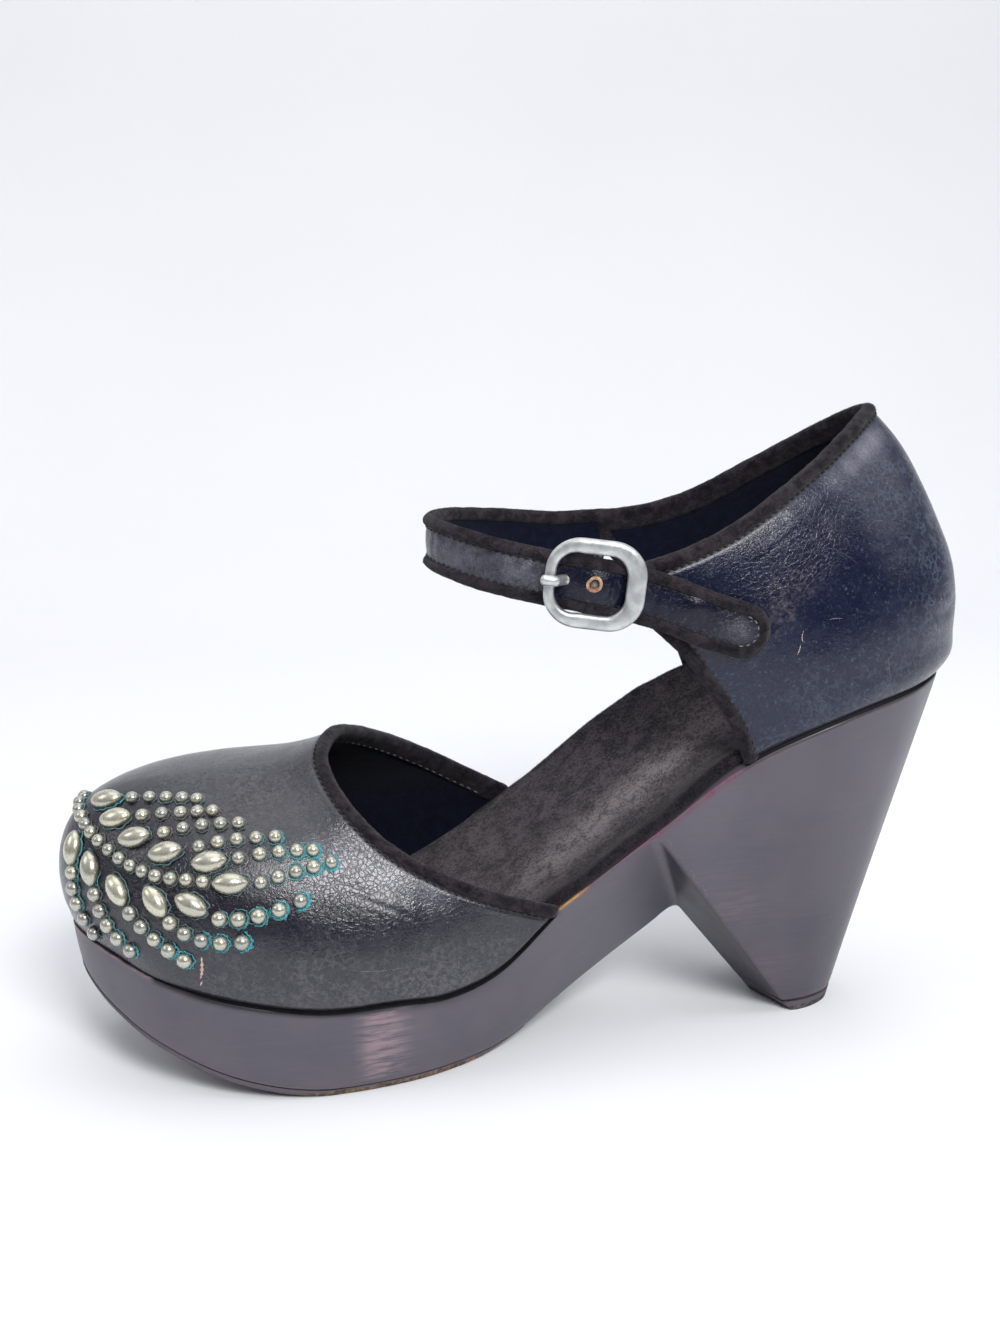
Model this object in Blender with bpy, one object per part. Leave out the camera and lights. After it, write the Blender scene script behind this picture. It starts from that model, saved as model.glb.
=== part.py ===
"""Platform clog, left shoe: notched wooden sole, closed round toe, open waist, buckled ankle strap.

Sizes are millimetres, turned into metres when a mesh is made. +Z is up, the toe points to -X and
the outer side of the foot lies toward -Y. The origin is the bottom centre of the whole shoe.
"""
import math

import bmesh
import bpy
import numpy as np

MM = 0.001
GAP = 0.3                  # clearance between neighbouring pieces

SOLE_LENGTH = 222.7        # sole, toe to heel seat
SOLE_TOE = -107.4          # x of the sole's toe in the drawing frame
BALL_WIDTH = 79.0          # sole across the ball
SEAT_HEIGHT = 87.7         # heel seat above the floor
TREAD = 1.5                # forefoot tread with its clearance
TREAD_INSET = 0.7          # tread edge inside the platform edge
HEEL_TIP = 2.6             # heel wear piece
INSOLE = 3.0               # padded footbed
INSOLE_SEAT = 0.5          # footbed above the sole's top
INSOLE_ROLL = 1.5          # rounding of the footbed's edge
INSOLE_END = 0.35          # footbed's ends inside toe and heel, in rows of the sole table
WALL = 1.9                 # leather wall with its lining
SEAM_INSET = 0.3           # upper's foot inside the sole edge
BINDING_WIDTH = 4.2        # bound edge of throat and topline
BINDING_PROUD = 0.6        # step of the bound edge above the leather
BINDING_FLANK = 0.5        # width of the step's flank
BINDING_MOST = 0.6         # most of a low wall that its binding takes
INSTEP_RISE = 0.15         # share of the late climb to the throat in the vamp's profile
INSTEP_POWER = 4           # how late that climb comes
BULGE_END = 0.8            # share of the vamp's rise where its bulge has run out
BULGE_LOW = 0.8            # below 1 sets the bulge low
STRAP_WIDTH = 12.4
STRAP_BACK = 0.8           # strap behind its centre line
STRAP_FACE = 0.4           # strap in front of its centre line
STRAP_PROUD = 0.4          # step of the strap's bound edges
STRAP_EDGE = 2.8           # width of the strap's bound edges
STRAP_ROUND = 0.93         # share of the half width where its rounded edge starts
STRAP_FLANK = 0.04         # share of the half width in the step's flank
BUCKLE_LENGTH = 23.6
BUCKLE_HEIGHT = 21.2
BUCKLE_CORNER = 8.2
BUCKLE_BAR = 3.2           # width of the frame's bar
BUCKLE_THICK = 2.2
CENTRE_BAR = 0.9           # radius of the centre bar
CENTRE_BAR_SET = 2.0       # centre bar set back toward the ankle
PRONG_RADIUS = 1.0
PRONG_REST = BUCKLE_THICK / 2 + GAP + PRONG_RADIUS
STEPS = 4                  # mesh steps between two rows of the sole table
VAMP_STEPS = 9             # mesh steps up the vamp below its binding
QUARTER_STEPS = 11

WAIST_END = 9              # row where the notch's crease meets the top edge
HEEL_END = 14              # row of the heel's back
QUARTER_FRONT = 10         # row where the quarter's front edge meets the seat
VAMP_END = 7.82            # row where the vamp's lower edge ends
TREAD_START = 0.5          # rows where the forefoot tread starts and ends
TREAD_END = 7.3
OPENING = (6.2, 7.6)       # rows over which the footbed widens into the open waist
CLOSING = (9.9, 9.1)       # rows over which it narrows again under the quarter
FRONT_BINDING = 0.17       # bound front edge of the quarter, in rows
FRONT_FLANK = 0.02
VAMP_INSIDE = (-40.0, 0.0, 40.0)
QUARTER_INSIDE = (75.0, 0.0, 110.0)


class Table:
    """Rows under named columns, read between rows along a smooth curve."""

    def __init__(self, columns, rows):
        self.columns = columns.split()
        self.rows = np.array(rows, float)

    def column(self, name):
        return self.rows[:, self.columns.index(name)]

    def at(self, name, key):
        keys = self.column(self.columns[0])
        values = self.column(name)
        slopes = np.gradient(values, keys)
        i = int(np.clip(np.searchsorted(keys, key, side="right") - 1, 0, len(keys) - 2))
        width = keys[i + 1] - keys[i]
        f = (key - keys[i]) / width
        return (values[i] * (1 + 2 * f) * (1 - f) ** 2 + values[i + 1] * f * f * (3 - 2 * f)
                + width * f * (1 - f) * (slopes[i] * (1 - f) - slopes[i + 1] * f))

    def point(self, key):
        return np.array([self.at(name, key) for name in ("x", "y", "z")])


# Sole edge from the toe (row 0) to the heel's back, as shares of length, ball width and seat height;
# arch is the rise of the inner edge above the outer one.
SOLE = Table("row along outer inner top arch", (
    (0, 0.000, 0.000, 0.000, 0.382, 0.0),
    (1, 0.014, 0.125, 0.139, 0.378, 0.0),
    (2, 0.047, 0.259, 0.278, 0.362, 0.0),
    (3, 0.096, 0.392, 0.392, 0.328, 0.0),
    (4, 0.172, 0.481, 0.468, 0.283, 0.0),
    (5, 0.267, 0.513, 0.487, 0.257, 0.0),
    (6, 0.366, 0.481, 0.443, 0.279, 2.0),
    (7, 0.446, 0.441, 0.392, 0.353, 6.0),
    (8, 0.523, 0.413, 0.361, 0.470, 9.0),
    (9, 0.632, 0.367, 0.342, 0.650, 13.0),
    (10, 0.734, 0.354, 0.348, 0.830, 10.0),
    (11, 0.842, 0.354, 0.346, 0.944, 3.0),
    (12, 0.931, 0.259, 0.253, 0.988, 0.0),
    (13, 0.983, 0.118, 0.118, 1.000, 0.0),
    (14, 1.000, 0.000, 0.000, 1.000, 0.0)))

# Lower edge of the platform: x, share of the sole's half width, height; it ends in the keel's apex.
PLATFORM = Table("row x share z", (
    (0, -106.9, 1.000, 27.6),
    (1, -103.7, 0.990, 23.0),
    (2, -96.7, 0.985, 17.8),
    (3, -86.0, 0.985, 12.4),
    (4, -69.0, 0.985, 5.4),
    (5, -48.0, 0.975, TREAD),
    (6, -24.0, 0.910, TREAD),
    (7, -3.0, 0.670, 2.4),
    (8, 18.0, 0.340, 11.4),
    (9, 47.3, 0.000, 26.2)))

# Outline of the heel's foot on the floor, from its front corner to its back.
HEEL_FOOT = Table("row x half", (
    (9, 75.0, 14.5),
    (10, 77.5, 14.3),
    (11, 81.5, 12.7),
    (12, 86.0, 9.2),
    (13, 88.6, 4.4),
    (14, 89.3, 0.0)))
KEEL_FOOT = 68.5           # x of the keel on the floor

# Vamp throat from the outer end over the instep to the inner end.
THROAT = Table("share x y z", (
    (0.00, 9.6, -35.2, 42.0),
    (0.10, -5.0, -37.2, 46.4),
    (0.20, -19.0, -36.2, 52.3),
    (0.30, -32.0, -32.3, 60.0),
    (0.40, -41.5, -24.5, 69.3),
    (0.48, -45.0, -13.5, 75.2),
    (0.56, -43.2, -3.0, 77.8),
    (0.63, -39.5, 6.0, 77.6),
    (0.72, -30.0, 17.0, 73.0),
    (0.82, -16.5, 26.0, 65.0),
    (0.91, -4.0, 30.3, 57.2),
    (1.00, 7.5, 31.3, 50.6)))

# Meridians of the vamp from the sole edge to the throat: throat share on each side, squareness of
# the profile, bulge past the sole edge, lap outside the edge and drop below it.
VAMP = Table("row outer inner square bulge lap drop", (
    (0, 0.530, 0.530, 5.0, 2.8, -SEAM_INSET, -GAP),
    (1, 0.485, 0.565, 4.8, 2.8, -SEAM_INSET, -GAP),
    (2, 0.455, 0.595, 4.4, 2.6, -SEAM_INSET, -GAP),
    (3, 0.425, 0.630, 3.8, 2.4, -SEAM_INSET, -GAP),
    (4, 0.375, 0.680, 3.1, 2.2, -SEAM_INSET, -GAP),
    (5, 0.305, 0.745, 2.5, 1.8, 0.8, -GAP),
    (5.7, 0.235, 0.805, 2.4, 1.2, 2.5, -GAP),
    (6.3, 0.170, 0.855, 2.3, 0.9, 2.5, 2.4),
    (7, 0.095, 0.920, 2.1, 0.6, 2.5, 4.4),
    (VAMP_END, 0.000, 1.000, 2.0, 0.3, 2.5, 4.2)))

# Quarter topline from the outer front tip round the heel to the inner front seam.
TOPLINE = Table("share x y z", (
    (0.00, 26.5, -26.7, 122.2),
    (0.10, 38.0, -27.4, 125.8),
    (0.20, 51.0, -25.8, 131.3),
    (0.30, 64.5, -21.8, 139.4),
    (0.40, 78.5, -14.2, 148.0),
    (0.46, 88.5, -6.5, 154.6),
    (0.50, 93.0, 0.0, 156.6),
    (0.54, 90.5, 7.0, 154.6),
    (0.60, 83.0, 14.8, 149.0),
    (0.70, 69.0, 21.8, 140.0),
    (0.80, 55.5, 25.2, 132.4),
    (0.90, 42.5, 26.3, 128.4),
    (1.00, 30.5, 25.8, 127.4)))

# Meridians of the quarter from the heel seat to the topline.
QUARTER = Table("row outer inner bulge", (
    (10, 0.000, 1.000, 1.4),
    (11, 0.220, 0.780, 4.0),
    (12, 0.370, 0.630, 7.6),
    (13, 0.455, 0.545, 10.4),
    (14, 0.500, 0.500, 11.5)))
COUNTER = Table("rise share", (
    (0.00, 0.00),
    (0.07, 0.41),
    (0.17, 0.64),
    (0.30, 0.89),
    (0.45, 1.00),
    (0.58, 0.92),
    (0.72, 0.76),
    (0.86, 0.50),
    (1.00, 0.00)))
FRONT_EDGE = Table("rise run", (
    (0.00, 0.00),
    (0.20, 0.14),
    (0.40, 0.36),
    (0.60, 0.62),
    (0.75, 0.88),
    (0.86, 1.00),
    (1.00, 1.00)))
FRONT_FADE = 1.5           # rows over which the front edge's curve fades out

# Centre line of the strap from the inner seam round the ankle's front to the free tip.
STRAP = Table("row x y z", (
    (0, 29.9, 25.2, 121.2),
    (1, 18.0, 23.6, 121.2),
    (2, 4.0, 20.2, 122.8),
    (3, -10.0, 12.8, 124.6),
    (4, -17.6, 0.4, 125.4),
    (5, -12.7, -12.2, 124.2),
    (6, -3.3, -19.4, 122.0),
    (7, 6.5, -24.6, 119.9),
    (8, 16.8, -30.5, 118.6),
    (9, 26.5, -29.8, 117.0),
    (10, 35.0, -31.4, 114.0),
    (11, 44.0, -32.1, 110.3),
    (12, 52.0, -32.5, 107.6)))
STRAP_STEPS = 6
TIP_STEPS = 5
# Prong from beside the centre bar up through the strap and level over the frame's front bar.
PRONG = Table("row run out", (
    (0, -1.5, -2.35),
    (1, -3.6, -0.75),
    (2, -5.6, 1.3),
    (3, -7.4, PRONG_REST),
    (4, -12.4, PRONG_REST)))
BUCKLE_CENTRE = (16.8, -30.6, 119.4)
BUCKLE_YAW = 14.0          # degrees, frame turned round the ankle
BUCKLE_DIP = 6.0           # degrees, frame dipping to the back

WOOD = (0.105, 0.088, 0.108)
RUBBER = (0.05, 0.04, 0.038)
SUEDE = (0.07, 0.058, 0.052)
LEATHER = (0.03, 0.029, 0.034)
METAL = (0.42, 0.41, 0.39)


def unit(v):
    return v / np.linalg.norm(v)


def run_on(name, other, row):
    """Column of the sole table read past toe and heel into the other side, so both ends are round."""
    ours = SOLE.column(name)
    theirs = SOLE.column(other)
    sign = 1 if name == "along" else -1
    values = np.concatenate(((sign * theirs[1],), ours, (sign * theirs[-2],)))
    i = int(min(math.floor(row), HEEL_END - 1))
    f = row - i
    a, b, c, d = values[i:i + 4]
    return b + 0.5 * f * (c - a + f * (2 * a - 5 * b + 4 * c - d + f * (3 * (b - c) + d - a)))


def edge_point(row, side):
    """Point of the sole's top edge; side -1 is the outer edge, +1 the inner one."""
    name, other = ("outer", "inner") if side < 0 else ("inner", "outer")
    x = SOLE_TOE + SOLE_LENGTH * run_on("along", "along", row)
    y = side * BALL_WIDTH * run_on(name, other, row)
    z = SEAT_HEIGHT * SOLE.at("top", row)
    if side > 0:
        z += SOLE.at("arch", row)
    return np.array((x, y, z))


def edge_outward(row, side):
    """Level direction pointing out of the sole at its top edge."""
    step = 0.01
    low = edge_point(max(row - step, 0.0), side)
    high = edge_point(min(row + step, float(HEEL_END)), side)
    along = high - low
    return unit(np.array((-side * along[1], side * along[0], 0.0)))


def top_point(row, across, inset, lift):
    """Point over the sole's top: across runs -1 outer to 1 inner, both edges drawn in by inset."""
    outer = edge_point(row, -1) - edge_outward(row, -1) * inset
    inner = edge_point(row, 1) - edge_outward(row, 1) * inset
    share = (across + 1) / 2
    point = outer + (inner - outer) * share
    point[2] = outer[2] + (inner[2] - outer[2]) * share ** 2 + lift
    return point


class Skin:
    """Faces gathered from grids of points, welded where points coincide."""

    def __init__(self):
        self.points = []
        self.faces = []
        self.index = {}

    def place(self, point):
        key = tuple(int(round(c * 1000)) for c in point)
        if key not in self.index:
            self.index[key] = len(self.points)
            self.points.append(np.array(point, float))
        return self.index[key]

    def grid(self, rows):
        ids = [[self.place(p) for p in row] for row in rows]
        for near, far in zip(ids, ids[1:]):
            for i in range(len(near) - 1):
                ring = dict.fromkeys((near[i], near[i + 1], far[i + 1], far[i]))
                if len(ring) > 2:
                    self.faces.append(tuple(ring))

    def cap(self, ring):
        self.faces.append(tuple(dict.fromkeys(self.place(p) for p in ring)))

    def wall(self, outer, inner):
        """Closed sheet between two grids of the same shape."""
        self.grid(outer)
        self.grid(inner)
        self.grid((outer[0], inner[0]))
        self.grid((outer[-1], inner[-1]))
        self.grid(([row[0] for row in outer], [row[0] for row in inner]))
        self.grid(([row[-1] for row in outer], [row[-1] for row in inner]))

    def tube(self, rings):
        """Closed rod through rings of points, capped at both ends."""
        self.grid([list(ring) + [ring[0]] for ring in rings])
        self.cap(rings[0])
        self.cap(rings[-1])

    def loop(self, rings):
        """Closed ring through rings of points, the last joined to the first."""
        self.grid([list(ring) + [ring[0]] for ring in rings + rings[:1]])


def rows_between(first, last, steps=STEPS):
    return np.linspace(first, last, int(round((last - first) * steps)) + 1)


def line(a, b, count):
    return [a + (b - a) * k / (count - 1) for k in range(count)]


def platform_edge(row, side):
    x = PLATFORM.at("x", row)
    y = edge_point(row, side)[1] * PLATFORM.at("share", row)
    return np.array((x, y, max(TREAD, PLATFORM.at("z", row))))


def heel_foot(row, side, height):
    """Point of the heel's side at this height on the line from the seat edge to the foot."""
    top = edge_point(row, side)
    foot = np.array((HEEL_FOOT.at("x", row), side * HEEL_FOOT.at("half", row), 0.0))
    return top + (foot - top) * (top[2] - height) / top[2]


def keel_foot(height):
    apex = platform_edge(WAIST_END, 1)
    foot = np.array((KEEL_FOOT, 0.0, 0.0))
    return apex + (foot - apex) * (apex[2] - height) / apex[2]


def heel_rim(side, height, count=4):
    """Heel outline at this height: front facet from the keel to the corner, then round to the back."""
    corner = heel_foot(WAIST_END, side, height)
    return line(keel_foot(height), corner, count) + [
        heel_foot(r, side, height) for r in rows_between(WAIST_END, HEEL_END)[1:]]


def sole_block():
    skin = Skin()
    base = HEEL_TIP + GAP
    waist = rows_between(0, WAIST_END)
    heel = rows_between(WAIST_END, HEEL_END)
    across = np.linspace(-1, 1, 7)
    skin.grid([[top_point(row, c, 0.0, 0.0) for c in across] for row in rows_between(0, HEEL_END)])
    skin.grid([line(platform_edge(r, -1), platform_edge(r, 1), 3) for r in waist])
    for side in (-1, 1):
        skin.grid([line(edge_point(r, side), platform_edge(r, side), 4) for r in waist])
        skin.grid([line(edge_point(r, side), heel_foot(r, side, base), 7) for r in heel])
        crease = line(edge_point(WAIST_END, side), platform_edge(WAIST_END, side), 4)
        sill = line(heel_foot(WAIST_END, side, base), keel_foot(base), 4)
        skin.grid([line(a, b, 7) for a, b in zip(crease, sill)])
    skin.grid([line(a, b, 3) for a, b in zip(heel_rim(-1, base), heel_rim(1, base))])
    return skin


def heel_tip():
    skin = Skin()
    for height in (0.0, HEEL_TIP):
        skin.grid([line(a, b, 3) for a, b in zip(heel_rim(-1, height), heel_rim(1, height))])
    for side in (-1, 1):
        skin.grid((heel_rim(side, 0.0), heel_rim(side, HEEL_TIP)))
    return skin


def outsole():
    """Tread following the platform's lower face from the toe to the start of the waist."""
    skin = Skin()
    rows = rows_between(TREAD_START, TREAD_END)
    layers = []
    for drop in (GAP, TREAD):
        strips = []
        for row in rows:
            outer = platform_edge(row, -1)
            inner = platform_edge(row, 1)
            shift = np.array((0.0, TREAD_INSET, 0.0))
            strips.append(line(outer + shift, inner - shift, 3))
        layers.append([[p - np.array((0.0, 0.0, drop)) for p in strip] for strip in strips])
    skin.wall(*layers)
    return skin


def insole_inset(row):
    """Footbed edge inside the sole edge: clear of the walls, out to the edge at the open waist."""
    walled = SEAM_INSET + WALL + 2 * GAP
    shares = [(row - start) / (end - start) for start, end in (OPENING, CLOSING)]
    open_share = np.clip(min(shares), 0.0, 1.0)
    open_share = open_share * open_share * (3 - 2 * open_share)
    return walled + (GAP - walled) * open_share


def insole():
    skin = Skin()
    rows = rows_between(INSOLE_END, HEEL_END - INSOLE_END)
    across = np.linspace(-1, 1, 9)
    top = []
    under = []
    for row in rows:
        inset = insole_inset(row)
        rim = [top_point(row, c, inset, INSOLE_SEAT + INSOLE / 2) for c in (-1, 1)]
        face = [top_point(row, c, inset + INSOLE_ROLL, INSOLE_SEAT + INSOLE) for c in across]
        top.append([rim[0]] + face + [rim[1]])
        low = [top_point(row, c, inset, INSOLE_SEAT) for c in across]
        under.append([low[0]] + low + [low[-1]])
    skin.grid(top)
    skin.grid([strip[1:-1] for strip in under])
    for end in (0, -1):
        skin.grid((top[end][1:-1], under[end][1:-1]))
        for tip, near in ((0, 1), (-1, -2)):
            skin.cap((top[end][tip], top[end][near], under[end][tip]))
    for tip in (0, -1):
        skin.grid(([strip[tip] for strip in top], [strip[tip] for strip in under]))
    return skin


def resample(path, stops):
    """Points of a dense path at these distances from its far end."""
    path = np.array(path)
    steps = np.linalg.norm(np.diff(path, axis=0), axis=1)
    run = np.concatenate(((0.0,), np.cumsum(steps)))
    places = run[-1] - np.array(stops)
    return np.stack([np.interp(places, run, path[:, k]) for k in range(3)], axis=1)


def path_length(path):
    return float(np.sum(np.linalg.norm(np.diff(np.array(path), axis=0), axis=1)))


def bound_stops(length, count):
    """Distances from the bound edge down to the foot: edge, end of the binding, its flank, the rest."""
    width = min(BINDING_WIDTH, BINDING_MOST * length)
    return [0.0, width - BINDING_FLANK, width] + list(np.linspace(width, length, count + 1)[1:])


def grid_normals(grid, away):
    """Unit normals of a grid of points, turned away from the given point."""
    g = np.array(grid)
    along = np.gradient(g, axis=0)
    down = np.gradient(g, axis=1)
    normal = np.cross(along, down)
    normal /= np.linalg.norm(normal, axis=2, keepdims=True)
    middle = (len(g) // 2, len(g[0]) // 2)
    if np.dot(normal[middle], g[middle] - away) < 0:
        normal = -normal
    return g, normal


def thicken(grid, proud, away):
    """Outer and inner faces of a wall: the outer stands proud where the edge is bound."""
    g, normal = grid_normals(grid, away)
    outer = g + normal * np.array(proud)[..., None]
    inner = g - normal * WALL
    inner[:, -1, 2] = g[:, -1, 2]
    return outer, inner


def vamp_meridian(row, side, count=80):
    """Dense path up the vamp from its foot on the sole edge to the throat."""
    out = edge_outward(row, side)
    foot = edge_point(row, side) + out * VAMP.at("lap", row)
    foot[2] -= VAMP.at("drop", row)
    head = THROAT.point(VAMP.at("outer" if side < 0 else "inner", row))
    power = 2 / VAMP.at("square", row)
    bulge = VAMP.at("bulge", row)
    path = []
    for angle in np.linspace(0, math.pi / 2, count):
        run = 1 - math.cos(angle) ** power
        rise = (1 - INSTEP_RISE) * math.sin(angle) ** power + INSTEP_RISE * run ** INSTEP_POWER
        point = foot + (head - foot) * np.array((run, run, rise))
        swell = math.sin(math.pi * min(1.0, rise / BULGE_END) ** BULGE_LOW)
        path.append(point + out * bulge * swell)
    return path


def vamp_columns():
    rows = rows_between(0, VAMP_END)
    return [(r, -1) for r in rows[::-1]] + [(r, 1) for r in rows[1:]]


def vamp():
    grid = []
    proud = []
    for row, side in vamp_columns():
        path = vamp_meridian(row, side)
        stops = bound_stops(path_length(path), VAMP_STEPS)
        grid.append(resample(path, stops))
        proud.append([BINDING_PROUD, BINDING_PROUD] + [0.0] * (len(stops) - 2))
    skin = Skin()
    skin.wall(*thicken(grid, proud, np.array(VAMP_INSIDE)))
    return skin


def quarter_meridian(row, side, count=60):
    """Dense path up the quarter from the heel seat to the topline."""
    out = edge_outward(row, side)
    foot = edge_point(row, side) - out * SEAM_INSET
    foot[2] += GAP
    head = TOPLINE.point(QUARTER.at("outer" if side < 0 else "inner", row))
    bulge = QUARTER.at("bulge", row)
    fade = max(0.0, 1 - (row - QUARTER_FRONT) / FRONT_FADE) ** 2
    path = []
    for rise in np.linspace(0, 1, count):
        run = rise + (FRONT_EDGE.at("run", rise) - rise) * fade
        point = foot + (head - foot) * np.array((run, rise, rise))
        path.append(point + out * bulge * COUNTER.at("share", rise))
    return path


def quarter():
    bound = QUARTER_FRONT + FRONT_BINDING
    rows = [QUARTER_FRONT, bound, bound + FRONT_FLANK]
    rows += list(rows_between(QUARTER_FRONT + 0.5, HEEL_END))
    columns = [(r, -1) for r in rows] + [(r, 1) for r in rows[-2::-1]]
    grid = []
    proud = []
    for k, (row, side) in enumerate(columns):
        path = quarter_meridian(row, side)
        stops = bound_stops(path_length(path), QUARTER_STEPS)
        grid.append(resample(path, stops))
        at_front = min(k, len(columns) - 1 - k) < 2
        proud.append([BINDING_PROUD, BINDING_PROUD] + [BINDING_PROUD * at_front] * (len(stops) - 2))
    skin = Skin()
    skin.wall(*thicken(grid, proud, np.array(QUARTER_INSIDE)))
    return skin


def strap_frame(row):
    """Centre, outward and upward directions of the strap."""
    last = STRAP.rows[-1, 0]
    ahead = STRAP.point(min(row + 0.02, last))
    behind = STRAP.point(max(row - 0.02, 0.0))
    along = unit(ahead - behind)
    up = unit(np.array((0.0, 0.0, 1.0)) - along * along[2])
    return STRAP.point(row), np.cross(along, up), up, along


def strap_ring(row, half, shift):
    """Section of the strap: flat back, face with a bound step along both edges."""
    centre, out, up, along = strap_frame(row)
    edge = max(1 - STRAP_EDGE / half, 0.3)
    face = STRAP_FACE + STRAP_PROUD
    upper = ((STRAP_ROUND, -STRAP_BACK), (1.0, -STRAP_BACK / 2), (1.0, face / 2),
             (STRAP_ROUND, face), (edge + STRAP_FLANK, face), (edge, STRAP_FACE))
    section = upper + tuple((-u, n) for u, n in upper[::-1])
    return [centre + along * shift + up * half * u + out * n for u, n in section]


def strap_body():
    half = STRAP_WIDTH / 2
    last = STRAP.rows[-1, 0]
    rings = [strap_ring(r, half, 0.0) for r in rows_between(0, last, STRAP_STEPS)]
    for k in range(1, TIP_STEPS):
        angle = k * math.pi / 2 / TIP_STEPS
        rings.append(strap_ring(last, half * math.cos(angle), half * math.sin(angle)))
    skin = Skin()
    skin.tube(rings)
    return skin


def buckle_axes():
    """Directions of the frame: along the strap to the back, up, and out from the ankle."""
    yaw = math.radians(BUCKLE_YAW)
    dip = math.radians(BUCKLE_DIP)
    level = np.array((math.cos(yaw), -math.sin(yaw), 0.0))
    along = level * math.cos(dip) - np.array((0.0, 0.0, math.sin(dip)))
    up = unit(np.array((0.0, 0.0, 1.0)) - along * along[2])
    return along, up, np.cross(along, up)


def buckle_at(run, rise, out):
    along, up, outward = buckle_axes()
    return np.array(BUCKLE_CENTRE) + along * run + up * rise + outward * out


def rod(path, radius, sides=10):
    """Round rod along a path, all sections turned the same way."""
    along = unit(np.array(path[-1]) - np.array(path[0]))
    axes = buckle_axes()
    guide = axes[0] if abs(np.dot(axes[1], along)) > 0.9 else axes[1]
    first = unit(np.cross(along, guide))
    second = np.cross(along, first)
    turns = np.linspace(0, 2 * math.pi, sides, endpoint=False)
    skin = Skin()
    skin.tube([[p + radius * (first * math.cos(t) + second * math.sin(t)) for t in turns] for p in path])
    return skin


def buckle_ring():
    """Frame of rounded-rectangle outline with a softened flat section."""
    corner = BUCKLE_CORNER - BUCKLE_BAR / 2
    wide = (BUCKLE_LENGTH - BUCKLE_BAR) / 2
    tall = (BUCKLE_HEIGHT - BUCKLE_BAR) / 2
    bar = BUCKLE_BAR / 2
    thick = BUCKLE_THICK / 2
    section = ((-bar, -0.4 * thick), (-0.5 * bar, -thick), (0.5 * bar, -thick), (bar, -0.4 * thick),
               (bar, 0.3 * thick), (0.5 * bar, thick), (-0.5 * bar, thick), (-bar, 0.3 * thick))
    rings = []
    for quadrant, (sx, sz) in enumerate(((1, 1), (-1, 1), (-1, -1), (1, -1))):
        for k in range(7):
            angle = math.radians(90 * quadrant + 15 * k)
            cx = sx * (wide - corner)
            cz = sz * (tall - corner)
            ring = []
            for u, n in section:
                reach = corner + u
                ring.append(buckle_at(cx + reach * math.cos(angle), cz + reach * math.sin(angle), n))
            rings.append(ring)
    skin = Skin()
    skin.loop(rings)
    return skin


def prong_path():
    return [buckle_at(run, 0.0, out) for row, run, out in PRONG.rows]


def make(skin, name, colour, rough, metal=0.0):
    mesh = bpy.data.meshes.new(name)
    mesh.from_pydata([tuple(p * MM) for p in skin.points], [], skin.faces)
    bm = bmesh.new()
    bm.from_mesh(mesh)
    bmesh.ops.recalc_face_normals(bm, faces=bm.faces)
    bmesh.ops.triangulate(bm, faces=bm.faces)
    bm.to_mesh(mesh)
    bm.free()
    material = bpy.data.materials.new(name)
    material.use_nodes = True
    shader = material.node_tree.nodes["Principled BSDF"]
    shader.inputs["Base Color"].default_value = (*colour, 1.0)
    shader.inputs["Roughness"].default_value = rough
    shader.inputs["Metallic"].default_value = metal
    mesh.materials.append(material)
    piece = bpy.data.objects.new(name, mesh)
    bpy.context.scene.collection.objects.link(piece)
    return piece


def combine(piece, tool, operation):
    """Boolean of a piece with a tool that is kept hidden."""
    tool.hide_render = True
    tool.display_type = "WIRE"
    modifier = piece.modifiers.new(operation.lower(), "BOOLEAN")
    modifier.operation = operation
    modifier.solver = "EXACT"
    modifier.object = tool


def centre(pieces):
    """Move all pieces so that the bottom centre of their box is the origin."""
    corners = np.array([v.co for p in pieces if not p.hide_render for v in p.data.vertices])
    low = corners.min(axis=0)
    high = corners.max(axis=0)
    shift = np.array(((low[0] + high[0]) / 2, (low[1] + high[1]) / 2, low[2]))
    for piece in pieces:
        for vertex in piece.data.vertices:
            vertex.co = np.array(vertex.co) - shift
    return shift


for item in list(bpy.data.objects):
    bpy.data.objects.remove(item, do_unlink=True)

frame = make(buckle_ring(), "buckle_frame", METAL, 0.35, 1.0)
bar_reach = (BUCKLE_HEIGHT - BUCKLE_BAR) / 2
bar_path = [buckle_at(0, rise, -CENTRE_BAR_SET) for rise in (-bar_reach, bar_reach)]
bar = make(rod(bar_path, CENTRE_BAR), "centre_bar", METAL, 0.35, 1.0)
strap = make(strap_body(), "ankle_strap", LEATHER, 0.5)
prong = make(rod(prong_path(), PRONG_RADIUS), "buckle_prong", METAL, 0.35, 1.0)
hole = make(rod(prong_path(), PRONG_RADIUS + GAP), "strap_hole", LEATHER, 0.5)
combine(frame, bar, "UNION")
combine(strap, hole, "DIFFERENCE")
pieces = [make(sole_block(), "sole_block", WOOD, 0.45),
          make(outsole(), "outsole", RUBBER, 0.8),
          make(heel_tip(), "heel_tip", RUBBER, 0.8),
          make(insole(), "insole", SUEDE, 0.9),
          make(vamp(), "vamp", LEATHER, 0.45),
          make(quarter(), "quarter", LEATHER, 0.45),
          strap, frame, prong, bar, hole]
ORIGIN = centre(pieces)
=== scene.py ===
"""Looks of the platform clog: leather, suede, painted wood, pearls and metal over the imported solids.

Sizes are millimetres in the shoe's drawing frame, turned into metres of the row frame when a mesh is
made. The toe points to -X, the outer side lies toward -Y, and +Z is up.
"""
import math

import bmesh
import bpy
import numpy as np
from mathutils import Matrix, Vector, noise
from mathutils.kdtree import KDTree


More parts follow.
